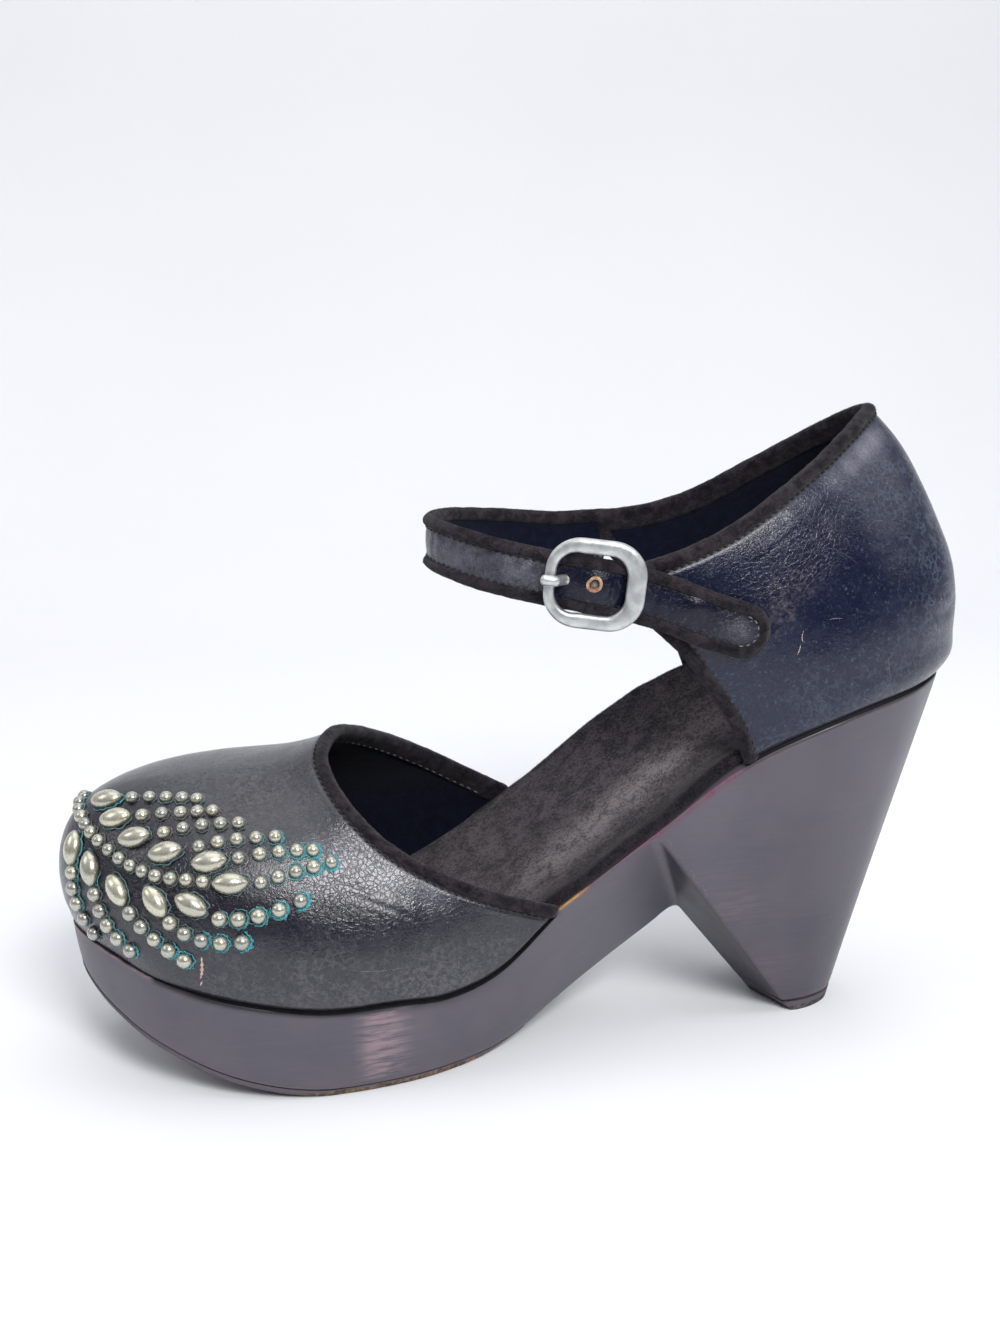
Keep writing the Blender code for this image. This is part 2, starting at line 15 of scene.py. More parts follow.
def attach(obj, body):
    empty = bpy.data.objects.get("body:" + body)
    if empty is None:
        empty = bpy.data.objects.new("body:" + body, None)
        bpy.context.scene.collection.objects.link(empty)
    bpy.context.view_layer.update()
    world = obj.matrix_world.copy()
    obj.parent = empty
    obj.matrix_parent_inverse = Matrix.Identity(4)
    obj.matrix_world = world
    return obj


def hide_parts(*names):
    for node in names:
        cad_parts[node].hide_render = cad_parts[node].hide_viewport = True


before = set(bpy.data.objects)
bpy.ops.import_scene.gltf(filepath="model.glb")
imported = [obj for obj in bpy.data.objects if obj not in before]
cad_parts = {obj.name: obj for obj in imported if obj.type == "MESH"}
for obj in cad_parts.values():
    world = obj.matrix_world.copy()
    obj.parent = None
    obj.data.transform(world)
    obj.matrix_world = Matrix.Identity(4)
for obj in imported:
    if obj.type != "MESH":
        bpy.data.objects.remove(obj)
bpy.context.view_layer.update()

MM = 0.001
ORIGIN = np.array((4.577, -1.202, 0.0))   # bottom centre of the shoe in the drawing frame
UP = np.array((0.0, 0.0, 1.0))
SIDES = (-1, 1)            # outer and inner

# Sizes shared with the solids
GAP = 0.3
SOLE_LENGTH = 222.7
SOLE_TOE = -107.4
BALL_WIDTH = 79.0
SEAT_HEIGHT = 87.7
TREAD = 1.5
HEEL_TIP = 2.6
INSOLE = 3.0
INSOLE_SEAT = 0.5
INSOLE_END = 0.35
WALL = 1.9
SEAM_INSET = 0.3
VAMP_BINDING = 2.5         # bound edges on the outside
QUARTER_BINDING = 3.0
BINDING_INSIDE = 5.2       # its folded half on the lining
BINDING_PROUD = 0.9
BINDING_LAP = 0.9          # leather runs this far under the binding
FRONT_BINDING = 2.7        # bound front edges of the quarter
INSTEP_RISE = 0.15
INSTEP_POWER = 4
BULGE_END = 0.8
BULGE_LOW = 0.8
STRAP_WIDTH = 12.4
STRAP_BACK = 0.8
STRAP_FACE = 0.4
STRAP_EDGE = 2.4
BUCKLE_LENGTH = 23.6
BUCKLE_HEIGHT = 21.2
BUCKLE_CORNER = 8.2
BUCKLE_BAR = 3.6
BUCKLE_SWELL = 1.0         # front bar thinner, back bar wider by this much
BUCKLE_THICK = 2.4
CENTRE_BAR = 0.9
CENTRE_BAR_SET = 2.0
PRONG_RADIUS = 1.15
HOLE = 1.15                # radius of the spare hole

# Sizes of what only the scene shows
MARGIN_START = 2.9         # row where the dark strip of painted shade under the vamp begins
MARGIN_LOW = 0.1           # its half height at the start, and where the vamp laps the sole
MARGIN_TALL = 0.75
END_ROUND = 2.6            # the throat binding's ends are rounded over this length
SEAM_REACH = 0.9           # the strap's binding reaches this far over its seam
BINDING_HAIRS = 5000       # loose fibres on one long binding
WELD = 0.002               # points nearer than this become one
FIBRE = 0.035              # radius of a loose fibre
BINDING_LUMP = 0.1         # unevenness of a binding, as a share of its girth
SEAM_STITCH = (1.9, 1.3, 0.28)          # pitch, length and radius of the stitches under the bindings
EDGE_STITCH = (1.9, 1.3, 0.2)           # along the quarter's front edges and the strap
VAMP_LINING_STITCH = (2.3, 1.6, 0.2)
QUARTER_LINING_STITCH = (2.3, 1.6, 0.18)
TIP_STITCH = (1.7, 1.2, 0.22)
STITCH_GAP = 0.2           # stitches lie this far beside a binding
STRAP_STITCH_GAP = 0.3
LINING_STITCH_IN = 0.9     # and this far inside its edge on the lining
TOP_STEPS = 12             # sections of the block for one row of its table
SOFT_EDGE = 1.6            # rounding of the block's edges fades over this length from a start over one
SOFT_START = 1.6
GROOVE_PITCH = 4.0         # cross grooves of the tread
GROOVE_DEPTH = 0.3
GROOVE_WALL = (0.55, 0.9)  # shares of the wave between which a groove's wall falls
GROOVE_INSET = (3.0, 5.0)  # distances from the tread's edge between which grooves begin
TREAD_FADE = 0.9           # rows over which the tread is worn away at its rear end
TREAD_ROUND = 0.5          # its lower edge, rounded over this width by this height
TREAD_DROP = 0.35
TREAD_GAP = 0.02           # under the block
TREAD_LEAST = 0.05         # depth of its underside where it is worn away
INSOLE_ROLL = 1.7          # radius of the insole's rolled edge
INSOLE_TAPER = 0.25        # rows over which it thins at toe and heel
INSOLE_OPEN = ((6.9, 7.7), (10.2, 9.6))   # rows where its edge begins and ceases to show
# Polished stripe of the insole, painted paler as a sheen: middle and half width as shares across, its slant,
# and the row of its middle.
STRIPE_PLACE = -0.36
STRIPE_WIDTH = 0.24
STRIPE_SLANT = 0.1
STRIPE_ROW = 8.5
NAP_ROWS = (7.3, 10.1)     # rows with loose nap along the edge
NAP_WIDE = 14              # points across from the edge
NAP_COUNT = 5000           # loose fibres on each open edge of the insole
COLLAR = 1.75 * CENTRE_BAR              # radius of the prong's collar round the centre bar
COLLAR_HALF = (0.6, 1.2)   # half thickness and half width of that collar
PRONG_TIP = 1.1            # length of the prong's rounded end
PRONG_RISE = 0.2           # the prong lies this far over the buckle's middle
# Rim of the spare hole: shares of its radius, and heights over the strap.
HOLE_RIM = ((1.65, 0.02), (1.4, 0.12), (1.08, 0.1), (0.96, -0.2), (0.98, -0.8), (1.1, -1.4))
# Folds across the strap: row and depth.
STRAP_FOLDS = ((8.35, 0.28), (9.05, 0.22), (9.5, 0.16), (6.9, 0.2), (5.1, 0.18), (4.4, 0.16), (3.2, 0.16))
# Soft spots of the strap: row, height over its middle, radius and strength.
STRAP_SPOTS = {
    "rub": ((5.6, 0.0, 7.0, 0.2), (11.6, 0.0, 5.0, 0.25)),
    "gleam": ((6.5, 2.5, 6.5, 0.55), (11.9, 0.0, 3.5, 0.35)),
    "flex": ((6.5, 2.5, 9.0, 0.9), (11.9, 0.0, 5.0, 0.8))}
STRAP_SWELLS = ((0.12, 9.0, 2.0), (0.05, 3.0, 5.0))   # height, size and seed of its lumps
STRAP_CROWN = 0.35         # height of the strap's middle
STRAP_CROWN_HALF = 0.62    # share of the half width where the crown has sunk to the sheet
STRAP_BULGE = (10.65, np.array((0.0, -1.0, 2.2)), 3.0, 0.75)   # row, way off its middle, radius, height
FOLD_WIDTH = 1.1
FOLD_HALF = 4.5            # half length of a fold across the strap
STRAP_STEPS = 260          # points along one edge of the strap, and round its tip
TIP_STEPS = 38

# Rows of the tables where things begin and end
WAIST_END = 9
HEEL_END = 14
QUARTER_FRONT = 10
VAMP_END = 7.92
OPENING = (6.2, 7.6)       # the insole widens where the vamp ends
CLOSING = (9.9, 9.1)       # and narrows where the quarter begins
TREAD_START = 0.5
TREAD_END = 7.3
FRONT_FADE = 1.5           # rows over which the slant of the quarter's front edge fades

KEEL_FOOT = 68.5           # x where the heel's front edge would meet the floor
TREAD_INSET = 0.7          # the tread's edge lies this far inside the platform's
VAMP_INSIDE = np.array((-40.0, 0.0, 40.0))      # places inside the uppers, which tell out from in
QUARTER_INSIDE = np.array((75.0, 0.0, 110.0))

BEADS = (1.62, 1.8)        # radius of a round bead in the upper and in the lower arms
NAVETTE = (4.3, 2.6, 2.3)  # half length, half width and height of a long bead
DOME_LOW = 0.42            # a bead's foot lies this far under its equator, in radians
DOME_TOP = 0.985           # share of a quarter turn up to its flat crown
DOME_LIFT = 0.3            # share of its height by which its equator stands off the leather
THREAD_SIDE = np.array((0.8, 0.0, -0.6))   # side of a bead where its thread shows most


class Table:
    """Rows under named columns, read between rows along a smooth curve."""

    def __init__(self, columns, rows):
        self.columns = columns.split()
        self.rows = np.array(rows, float)

    def column(self, name):
        return self.rows[:, self.columns.index(name)]

    def at(self, name, key):
        """Value of a column at a key between rows."""
        keys = self.column(self.columns[0])
        values = self.column(name)
        slopes = np.gradient(values, keys)
        key = np.asarray(key, float)
        i = np.clip(np.searchsorted(keys, key, side="right") - 1, 0, len(keys) - 2)
        width = keys[i + 1] - keys[i]
        f = (key - keys[i]) / width
        return (values[i] * (1 + 2 * f) * (1 - f) ** 2 + values[i + 1] * f * f * (3 - 2 * f)
                + width * f * (1 - f) * (slopes[i] * (1 - f) - slopes[i + 1] * f))

    def point(self, key):
        return np.stack([self.at(name, key) for name in ("x", "y", "z")], axis=-1)


SOLE = Table("row along outer inner top arch", (
    (0, 0.000, 0.000, 0.000, 0.382, 0.0),
    (1, 0.014, 0.125, 0.139, 0.378, 0.0),
    (2, 0.047, 0.259, 0.278, 0.362, 0.0),
    (3, 0.096, 0.392, 0.392, 0.328, 0.0),
    (4, 0.172, 0.481, 0.468, 0.283, 0.0),
    (5, 0.267, 0.513, 0.487, 0.257, 0.0),
    (6, 0.366, 0.481, 0.443, 0.279, 2.0),
    (7, 0.446, 0.441, 0.392, 0.353, 6.0),
    (8, 0.523, 0.413, 0.361, 0.470, 9.0),
    (9, 0.632, 0.367, 0.342, 0.650, 13.0),
    (10, 0.734, 0.354, 0.348, 0.830, 10.0),
    (11, 0.842, 0.354, 0.346, 0.944, 3.0),
    (12, 0.931, 0.259, 0.253, 0.988, 0.0),
    (13, 0.983, 0.118, 0.118, 1.000, 0.0),
    (14, 1.000, 0.000, 0.000, 1.000, 0.0)))
PLATFORM = Table("row x share z", (
    (0, -106.9, 1.000, 27.6),
    (1, -103.7, 0.990, 23.0),
    (2, -96.7, 0.985, 17.8),
    (3, -86.0, 0.985, 12.4),
    (4, -69.0, 0.985, 5.4),
    (5, -48.0, 0.975, TREAD),
    (6, -24.0, 0.910, TREAD),
    (7, -3.0, 0.670, 2.4),
    (8, 18.0, 0.340, 11.4),
    (9, 47.3, 0.000, 26.2)))
HEEL_FOOT = Table("row x half", (
    (9, 75.0, 14.5),
    (10, 77.5, 14.3),
    (11, 81.5, 12.7),
    (12, 86.0, 9.2),
    (13, 88.6, 4.4),
    (14, 89.3, 0.0)))
THROAT = Table("share x y z", (
    (0.00, 8.4, -35.3, 41.6),
    (0.10, -5.0, -37.2, 46.4),
    (0.20, -19.0, -36.2, 52.3),
    (0.30, -32.0, -32.3, 60.0),
    (0.40, -41.5, -24.5, 69.3),
    (0.48, -45.0, -13.5, 75.2),
    (0.56, -43.2, -3.0, 77.8),
    (0.63, -39.5, 6.0, 77.6),
    (0.72, -30.0, 17.0, 73.0),
    (0.82, -16.5, 26.0, 65.0),
    (0.91, -4.0, 30.3, 57.2),
    (1.00, 7.5, 31.3, 50.6)))
VAMP = Table("row outer inner square bulge lap drop", (
    (0, 0.530, 0.530, 5.0, 2.8, -SEAM_INSET, -GAP),
    (1, 0.485, 0.565, 4.8, 2.8, -SEAM_INSET, -GAP),
    (2, 0.455, 0.595, 4.4, 2.6, -SEAM_INSET, -GAP),
    (3, 0.425, 0.630, 3.8, 2.4, -SEAM_INSET, -GAP),
    (4, 0.375, 0.680, 3.1, 2.2, -SEAM_INSET, -GAP),
    (5, 0.305, 0.745, 2.5, 1.8, 0.8, -GAP),
    (5.7, 0.235, 0.805, 2.4, 1.2, 2.5, -GAP),
    (6.3, 0.170, 0.855, 2.3, 0.9, 2.5, 2.4),
    (7, 0.095, 0.920, 2.1, 0.6, 2.5, 3.6),
    (VAMP_END, 0.000, 1.000, 2.0, 0.3, 2.0, -0.2)))
TOPLINE = Table("share x y z", (
    (0.00, 26.5, -26.7, 122.2),
    (0.10, 38.0, -27.4, 125.8),
    (0.20, 51.0, -25.8, 131.3),
    (0.30, 64.5, -21.8, 139.4),
    (0.40, 78.5, -14.2, 148.0),
    (0.46, 88.5, -6.5, 154.6),
    (0.50, 93.0, 0.0, 156.6),
    (0.54, 90.5, 7.0, 154.6),
    (0.60, 83.0, 14.8, 149.0),
    (0.70, 69.0, 21.8, 140.0),
    (0.80, 55.5, 25.2, 132.4),
    (0.90, 42.5, 26.3, 128.4),
    (1.00, 30.5, 25.8, 127.4)))
QUARTER = Table("row outer inner bulge", (
    (10, 0.000, 1.000, 1.4),
    (11, 0.220, 0.780, 4.0),
    (12, 0.370, 0.630, 7.6),
    (13, 0.455, 0.545, 10.4),
    (14, 0.500, 0.500, 11.5)))
COUNTER = Table("rise share", (
    (0.00, 0.00), (0.07, 0.41), (0.17, 0.64), (0.30, 0.89), (0.45, 1.00),
    (0.58, 0.92), (0.72, 0.76), (0.86, 0.50), (1.00, 0.00)))
FRONT_EDGE = Table("rise run", (
    (0.00, 0.00), (0.20, 0.14), (0.40, 0.36), (0.60, 0.62), (0.75, 0.88), (0.86, 1.00), (1.00, 1.00)))
STRAP = Table("row x y z", (
    (0, 29.9, 25.2, 121.2),
    (1, 18.0, 23.6, 121.2),
    (2, 4.0, 20.2, 122.8),
    (3, -10.0, 12.8, 124.6),
    (4, -17.6, 0.4, 125.4),
    (5, -12.7, -12.2, 124.2),
    (6, -3.3, -19.4, 122.0),
    (7, 6.5, -24.6, 120.3),
    (8, 16.8, -30.5, 119.0),
    (9, 26.5, -29.8, 116.6),
    (10, 35.0, -31.4, 114.0),
    (11, 44.0, -32.1, 110.3),
    (12, 52.0, -32.5, 107.6)))
STRAP_START = -0.1         # sewn under the quarter's edge
STRAP_END = 12
PRONG = Table("row run out", (
    (0, -0.6, -1.9),
    (1, -6.4, -1.2),
    (2, -8.3, 0.7),
    (3, -9.4, 2.2),
    (4, -12.7, 2.3)))
BUCKLE_CENTRE = np.array((16.8, -30.6, 119.4))
BUCKLE_YAW = 14.0
BUCKLE_DIP = 6.0

# Bead fan on the outer half of the toe: a long bead and the start, middle and end of its five round beads,
# each as column round the toe (negative outward) and rise from the sole edge; teal is the thread's share.
FAN = Table("arm long_c long_t c0 t0 c1 t1 c2 t2 teal0 teal1", (
    (0, -0.65, 0.41, -0.95, 0.47, -1.30, 0.55, -1.65, 0.62, 0.1, 0.2),
    (1, -1.40, 0.40, -1.70, 0.46, -2.05, 0.55, -2.30, 0.63, 0.0, 0.0),
    (2, -2.10, 0.40, -2.40, 0.47, -2.65, 0.57, -2.95, 0.66, 0.0, 0.1),
    (3, -2.75, 0.43, -3.05, 0.51, -3.30, 0.61, -3.60, 0.71, 0.0, 0.5),
    (4, -3.35, 0.49, -3.60, 0.56, -3.90, 0.67, -4.20, 0.76, 0.0, 0.9),
    (5, -3.75, 0.47, -4.05, 0.53, -4.30, 0.64, -4.55, 0.76, 0.2, 1.0),
    (6, -1.00, 0.26, -1.15, 0.20, -1.30, 0.12, -1.65, 0.05, 0.6, 0.3),
    (7, -1.65, 0.25, -1.85, 0.19, -2.15, 0.12, -2.60, 0.08, 0.1, 0.7),
    (8, -2.35, 0.25, -2.65, 0.21, -3.05, 0.17, -3.45, 0.14, 0.1, 1.0),
    (9, -3.00, 0.29, -3.25, 0.25, -3.65, 0.24, -4.10, 0.29, 0.1, 1.0),
    (10, -3.45, 0.34, -3.80, 0.34, -4.20, 0.41, -4.55, 0.54, 0.4, 1.0)))
ARM_BEADS = 5
LOWER_ARM = 6              # first arm of the lower row
TEAL_NAVETTES = (0, 6, 7)  # arms whose long bead is sewn on with teal thread
TEAL_MANY = 0.4            # a round bead with more teal than this has all the loops, others only the first
LOOPS = ((0.16, 0.21, 0), (0.34, 0.16, 500), (0.5, 0.12, 900))   # gap, radius and seed of a thread loop
NAVETTE_LOOP = (0.12, 0.2, 100)
BEAD_TURN = np.array((0.3, 1.0, 0.2))   # sets how a round bead is turned
GARLAND = Table("share c t", (
    (0.0, 0.55, 0.33),
    (0.2, -0.50, 0.33),
    (0.4, -1.40, 0.325),
    (0.6, -2.25, 0.33),
    (0.8, -2.90, 0.36),
    (1.0, -3.45, 0.425)))
GARLAND_BEADS = 15


def unit(v):
    return v / np.linalg.norm(v, axis=-1, keepdims=True)


def smooth_step(low, high, value):
    f = np.clip((np.asarray(value, float) - low) / (high - low), 0.0, 1.0)
    return f * f * (3 - 2 * f)


def band(value, rise, fall):
    """One between a soft rising step and a soft falling one, each given by its start and its end."""
    return smooth_step(*rise, value) * smooth_step(*fall, value)


def dome_share(gap, radius):
    """Height share of an edge rounded over this radius, at a distance from the edge."""
    return np.sqrt(np.clip(1 - (1 - np.minimum(gap / radius, 1.0)) ** 2, 0, 1))


def path_run(path):
    """Distance of each point along a polyline."""
    return np.concatenate(((0.0,), np.cumsum(np.linalg.norm(np.diff(path, axis=0), axis=1))))


def read_path(places, run, path):
    """Points of a polyline at these distances along it."""
    return np.stack([np.interp(places, run, path[:, k]) for k in range(3)], axis=-1)


def resample_line(line, step):
    """Points along a polyline at about this spacing."""
    run = path_run(line)
    return read_path(np.linspace(0, run[-1], max(2, int(run[-1] / step))), run, np.asarray(line))


def gap_to(points, paths, step=0.4):
    """Distance of each point from the nearest of some polylines, read at this spacing."""
    targets = np.concatenate([resample_line(path, step) for path in paths])
    tree = KDTree(len(targets))
    for i, target in enumerate(targets):
        tree.insert(target, i)
    tree.balance()
    return np.array([tree.find(point)[2] for point in points])


def ring(first, second, count):
    """Points of a unit circle spanned by two directions, or by each pair of them."""
    turns = np.linspace(0, 2 * math.pi, count, endpoint=False)[:, None]
    return np.asarray(first)[..., None, :] * np.cos(turns) + np.asarray(second)[..., None, :] * np.sin(turns)


def bilinear(grid, i, j):
    """Values of a grid read between its points."""
    i, j = np.asarray(i, float), np.asarray(j, float)
    a = np.minimum(i.astype(int), grid.shape[0] - 2)
    b = np.minimum(j.astype(int), grid.shape[1] - 2)
    u, v = (i - a)[..., None], (j - b)[..., None]
    return ((1 - u) * ((1 - v) * grid[a, b] + v * grid[a, b + 1])
            + u * ((1 - v) * grid[a + 1, b] + v * grid[a + 1, b + 1]))


def bend_line(a, b, c, count=28):
    """Points of a curve from a past b to c."""
    f = np.linspace(0, 1, count)[:, None]
    return (1 - f) * (1 - 2 * f) * a + 4 * f * (1 - f) * b + f * (2 * f - 1) * c


def run_on(name, other, row):
    """Column of the sole table read past toe and heel into the other side, so both ends are round."""
    ours = SOLE.column(name)
    theirs = SOLE.column(other)
    sign = 1 if name == "along" else -1
    values = np.concatenate(((sign * theirs[1],), ours, (sign * theirs[-2],)))
    row = np.asarray(row, float)
    i = np.minimum(np.floor(row), HEEL_END - 1).astype(int)
    f = row - i
    a, b, c, d = (values[i + k] for k in range(4))
    return b + 0.5 * f * (c - a + f * (2 * a - 5 * b + 4 * c - d + f * (3 * (b - c) + d - a)))


def edge_point(row, side):
    """Point of the sole's top edge; side -1 is the outer edge, +1 the inner one."""
    name, other = ("outer", "inner") if side < 0 else ("inner", "outer")
    x = SOLE_TOE + SOLE_LENGTH * run_on("along", "along", row)
    y = side * BALL_WIDTH * run_on(name, other, row)
    z = SEAT_HEIGHT * SOLE.at("top", row)
    if side > 0:
        z = z + SOLE.at("arch", row)
    return np.stack((x, y, z), axis=-1)


def edge_outward(row, side):
    """Level direction pointing out of the sole at its top edge."""
    row = np.asarray(row, float)
    low = edge_point(np.maximum(row - 0.01, 0.0), side)
    high = edge_point(np.minimum(row + 0.01, float(HEEL_END)), side)
    along = high - low
    return unit(np.stack((-side * along[..., 1], side * along[..., 0], 0 * along[..., 0]), axis=-1))


def top_point(row, across, inset, lift):
    """Points over the sole's top at one row: across runs -1 outer to 1 inner, edges drawn in by inset."""
    outer = edge_point(row, -1) - edge_outward(row, -1) * inset
    inner = edge_point(row, 1) - edge_outward(row, 1) * inset
    share = (np.asarray(across, float)[:, None] + 1) / 2
    points = outer + (inner - outer) * share
    points[:, 2] = outer[2] + (inner[2] - outer[2]) * share[:, 0] ** 2 + lift
    return points


def platform_edge(row, side):
    """Point of the platform's lower edge."""
    row = np.asarray(row, float)
    y = edge_point(row, side)[..., 1] * PLATFORM.at("share", row)
    return np.stack((PLATFORM.at("x", row), y, np.maximum(TREAD, PLATFORM.at("z", row))), axis=-1)


def heel_foot(row, side, height):
    """Point of the heel's side at a height, on the line from the top edge to the floor."""
    top = edge_point(row, side)
    foot = np.array((HEEL_FOOT.at("x", row), side * HEEL_FOOT.at("half", row), 0.0))
    return top + (foot - top) * (top[2] - height) / top[2]


def keel_foot(height):
    """Point at a height on the heel's front edge, which runs from the notch to the floor."""
    apex = platform_edge(WAIST_END, 1)
    foot = np.array((KEEL_FOOT, 0.0, 0.0))
    return apex + (foot - apex) * (apex[2] - height) / apex[2]


def vamp_meridian(row, side, count=160):
    """Dense path up the vamp from its foot on the sole edge to the throat."""
    out = edge_outward(row, side)
    foot = edge_point(row, side) + out * VAMP.at("lap", row)
    foot[2] -= VAMP.at("drop", row)
    head = THROAT.point(VAMP.at("outer" if side < 0 else "inner", row))
    power = 2 / VAMP.at("square", row)
    angle = np.linspace(0, math.pi / 2, count)
    run = 1 - np.cos(angle) ** power
    rise = (1 - INSTEP_RISE) * np.sin(angle) ** power + INSTEP_RISE * run ** INSTEP_POWER
    swell = np.sin(math.pi * np.minimum(1.0, rise / BULGE_END) ** BULGE_LOW)
    share = np.stack((run, run, rise), axis=1)
    return foot + (head - foot) * share + out * VAMP.at("bulge", row) * swell[:, None]


def quarter_meridian(row, side, count=120):
    """Dense path up the quarter from the heel seat to the topline."""
    out = edge_outward(row, side)
    foot = edge_point(row, side) - out * SEAM_INSET
    foot[2] += GAP
    head = TOPLINE.point(QUARTER.at("outer" if side < 0 else "inner", row))
    fade = max(0.0, 1 - (row - QUARTER_FRONT) / FRONT_FADE) ** 2
    rise = np.linspace(0, 1, count)
    run = rise + (FRONT_EDGE.at("run", rise) - rise) * fade
    share = np.stack((run, rise, rise), axis=1)
    bulge = QUARTER.at("bulge", row) * COUNTER.at("share", rise)
    return foot + (head - foot) * share + out * bulge[:, None]


def blur(grid, passes):
    """Soften a grid of points along its first axis, ends kept."""
    for _ in range(passes):
        grid[1:-1] = 0.5 * grid[1:-1] + 0.25 * (grid[:-2] + grid[2:])
    return grid


class Wall:
    """An upper piece's outer face: columns of dense paths, each from the foot up to the bound edge."""

    def __init__(self, columns, paths, inside, binding):
        self.binding = binding
        self.top = binding - BINDING_LAP
        self.columns = np.asarray(columns)
        self.paths = blur(np.array(paths), 3)
        self.inside = inside
        self.runs = np.array([path_run(path) for path in self.paths])
        self.lengths = self.runs[:, -1]

    def at(self, down):
        """Points at these distances down from the edge, one row of distances per column."""
        down = np.broadcast_to(down, (len(self.columns), np.shape(down)[-1]))
        points = np.empty(down.shape + (3,))
        for i, (path, run) in enumerate(zip(self.paths, self.runs)):
            past = unit(path[-1] - path[-6]) * np.minimum(down[i], 0.0)[:, None]
            points[i] = read_path(run[-1] - np.maximum(down[i], 0.0), run, path) - past
        return points

    def rise(self, column, share):
        """Points of one column at shares of its rise from foot to edge."""
        run = self.runs[column]
        return read_path(share * run[-1], run, self.paths[column])

    def point(self, c, t):
        """Point between columns, at a share of the rise."""
        i = np.interp(c, self.columns, np.arange(len(self.columns)))
        low = int(min(i, len(self.columns) - 2))
        near, far = self.rise(low, t), self.rise(low + 1, t)
        return near + (far - near) * (i - low)

    def normals(self, grid):
        """Outward directions on a grid of the wall, taken from its neighbours where it shrinks to a point."""
        normal = np.cross(np.gradient(grid, axis=0), np.gradient(grid, axis=1))
        for j in range(1, grid.shape[1]):
            flat = np.linalg.norm(normal[:, j], axis=1) < 1e-9
            normal[flat, j] = normal[flat, j - 1]
        good = np.flatnonzero(np.linalg.norm(normal[:, 0], axis=1) > 1e-9)
        near = good[np.abs(np.arange(len(grid))[:, None] - good).argmin(axis=1)]
        normal = unit(normal[near])
        middle = (len(grid) // 2, grid.shape[1] // 2)
        return normal if np.dot(normal[middle], grid[middle] - self.inside) > 0 else -normal

    def sheet(self, top, count):
        """Grid from this distance under the edge to the foot."""
        share = np.linspace(0, 1, count)
        down = top + (self.lengths[:, None] - top) * share
        return self.at(down), down


def vamp_wall(count=341):
    """Outer face of the vamp, from the outer end round the toe to the inner one."""
    columns = np.linspace(-VAMP_END, VAMP_END, count)
    paths = [vamp_meridian(abs(c), -1 if c <= 0 else 1) for c in columns]
    return Wall(columns, paths, VAMP_INSIDE, VAMP_BINDING)


def quarter_wall(count=281):
    """Outer face of the quarter, from its outer front edge round the heel to the inner one."""
    reach = HEEL_END - QUARTER_FRONT
    columns = np.linspace(-reach, reach, count)
    paths = [quarter_meridian(HEEL_END - abs(c), -1 if c <= 0 else 1) for c in columns]
    return Wall(columns, paths, QUARTER_INSIDE, QUARTER_BINDING)


# Meshes

class Builder:
    """Collects points, faces, face materials and point attributes of one piece."""

    def __init__(self):
        self.points = []
        self.faces = []
        self.kinds = []
        self.values = {}
        self.count = 0

    def add(self, points, faces, kind=0, **values):
        """Points with their faces, of one look, and values at each point."""
        points = np.asarray(points, float).reshape(-1, 3)
        for name in set(self.values) | set(values):
            held = self.values.setdefault(name, [np.zeros(self.count)])
            held.append(np.broadcast_to(np.asarray(values.get(name, 0.0), float).ravel(), len(points)))
        self.points.append(points)
        self.faces.extend([tuple(int(i) + self.count for i in face) for face in faces])
        self.kinds.extend([kind] * len(faces))
        self.count += len(points)

    def grid(self, grid, kind=0, close=False, caps=False, **values):
        """Sheet over a grid of points, or a tube where it closes on itself, with caps or without."""
        rows, cols = np.shape(grid)[:2]
        faces = grid_faces(rows, cols, close)
        if caps:
            faces += [tuple(range(cols)), tuple((rows - 1) * cols + k for k in range(cols))]
        self.add(grid, faces, kind, **{k: np.broadcast_to(v, (rows, cols)) for k, v in values.items()})

    def tube(self, rings, kind=0, **values):
        """Closed rod through rings of points."""
        self.grid(rings, kind, close=True, caps=True, **values)

    def finish(self, name, looks, slot):
        """Makes the mesh and its object, which rides on the body."""
        points = np.concatenate(self.points)
        mesh = bpy.data.meshes.new(name)
        mesh.from_pydata(((points - ORIGIN) * MM).tolist(), [], self.faces)
        for look in looks:
            mesh.materials.append(look)
        mesh.polygons.foreach_set("material_index", np.array(self.kinds, np.int32))
        mesh.polygons.foreach_set("use_smooth", np.ones(len(self.faces), bool))
        for key, parts in self.values.items():
            data = mesh.attributes.new(key, "FLOAT", "POINT").data
            data.foreach_set("value", np.concatenate(parts).astype(np.float32))
        tidy_mesh(mesh)
        piece = bpy.data.objects.new(name, mesh)
        bpy.context.scene.collection.objects.link(piece)
        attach(piece, "root")
        return piece


def tidy_mesh(mesh):
    """Weld points that coincide and turn all faces outward."""
    bm = bmesh.new()
    bm.from_mesh(mesh)
    bmesh.ops.remove_doubles(bm, verts=bm.verts, dist=WELD * MM)
    bmesh.ops.recalc_face_normals(bm, faces=bm.faces)
    bm.to_mesh(mesh)
    bm.free()


def grid_faces(rows, cols, close=False):
    """Quads of a grid, closed on itself across or open."""
    wide = cols if close else cols - 1
    return [(i * cols + j, i * cols + (j + 1) % cols, (i + 1) * cols + (j + 1) % cols, (i + 1) * cols + j)
            for i in range(rows - 1) for j in range(wide)]


def closed_wall(builder, outer, inner, kinds=(0, 1), **values):
    """Closed sheet between two grids of the same shape, outer and inner faces of different looks."""
    builder.grid(outer, kinds[0], **values)
    builder.grid(inner, kinds[1], **values)
    for edge in ((0,), (-1,), (slice(None), 0), (slice(None), -1)):
        rim = {key: np.stack((value[edge], value[edge])) for key, value in values.items()}
        builder.grid(np.stack((outer[edge], inner[edge])), kinds[1], **rim)


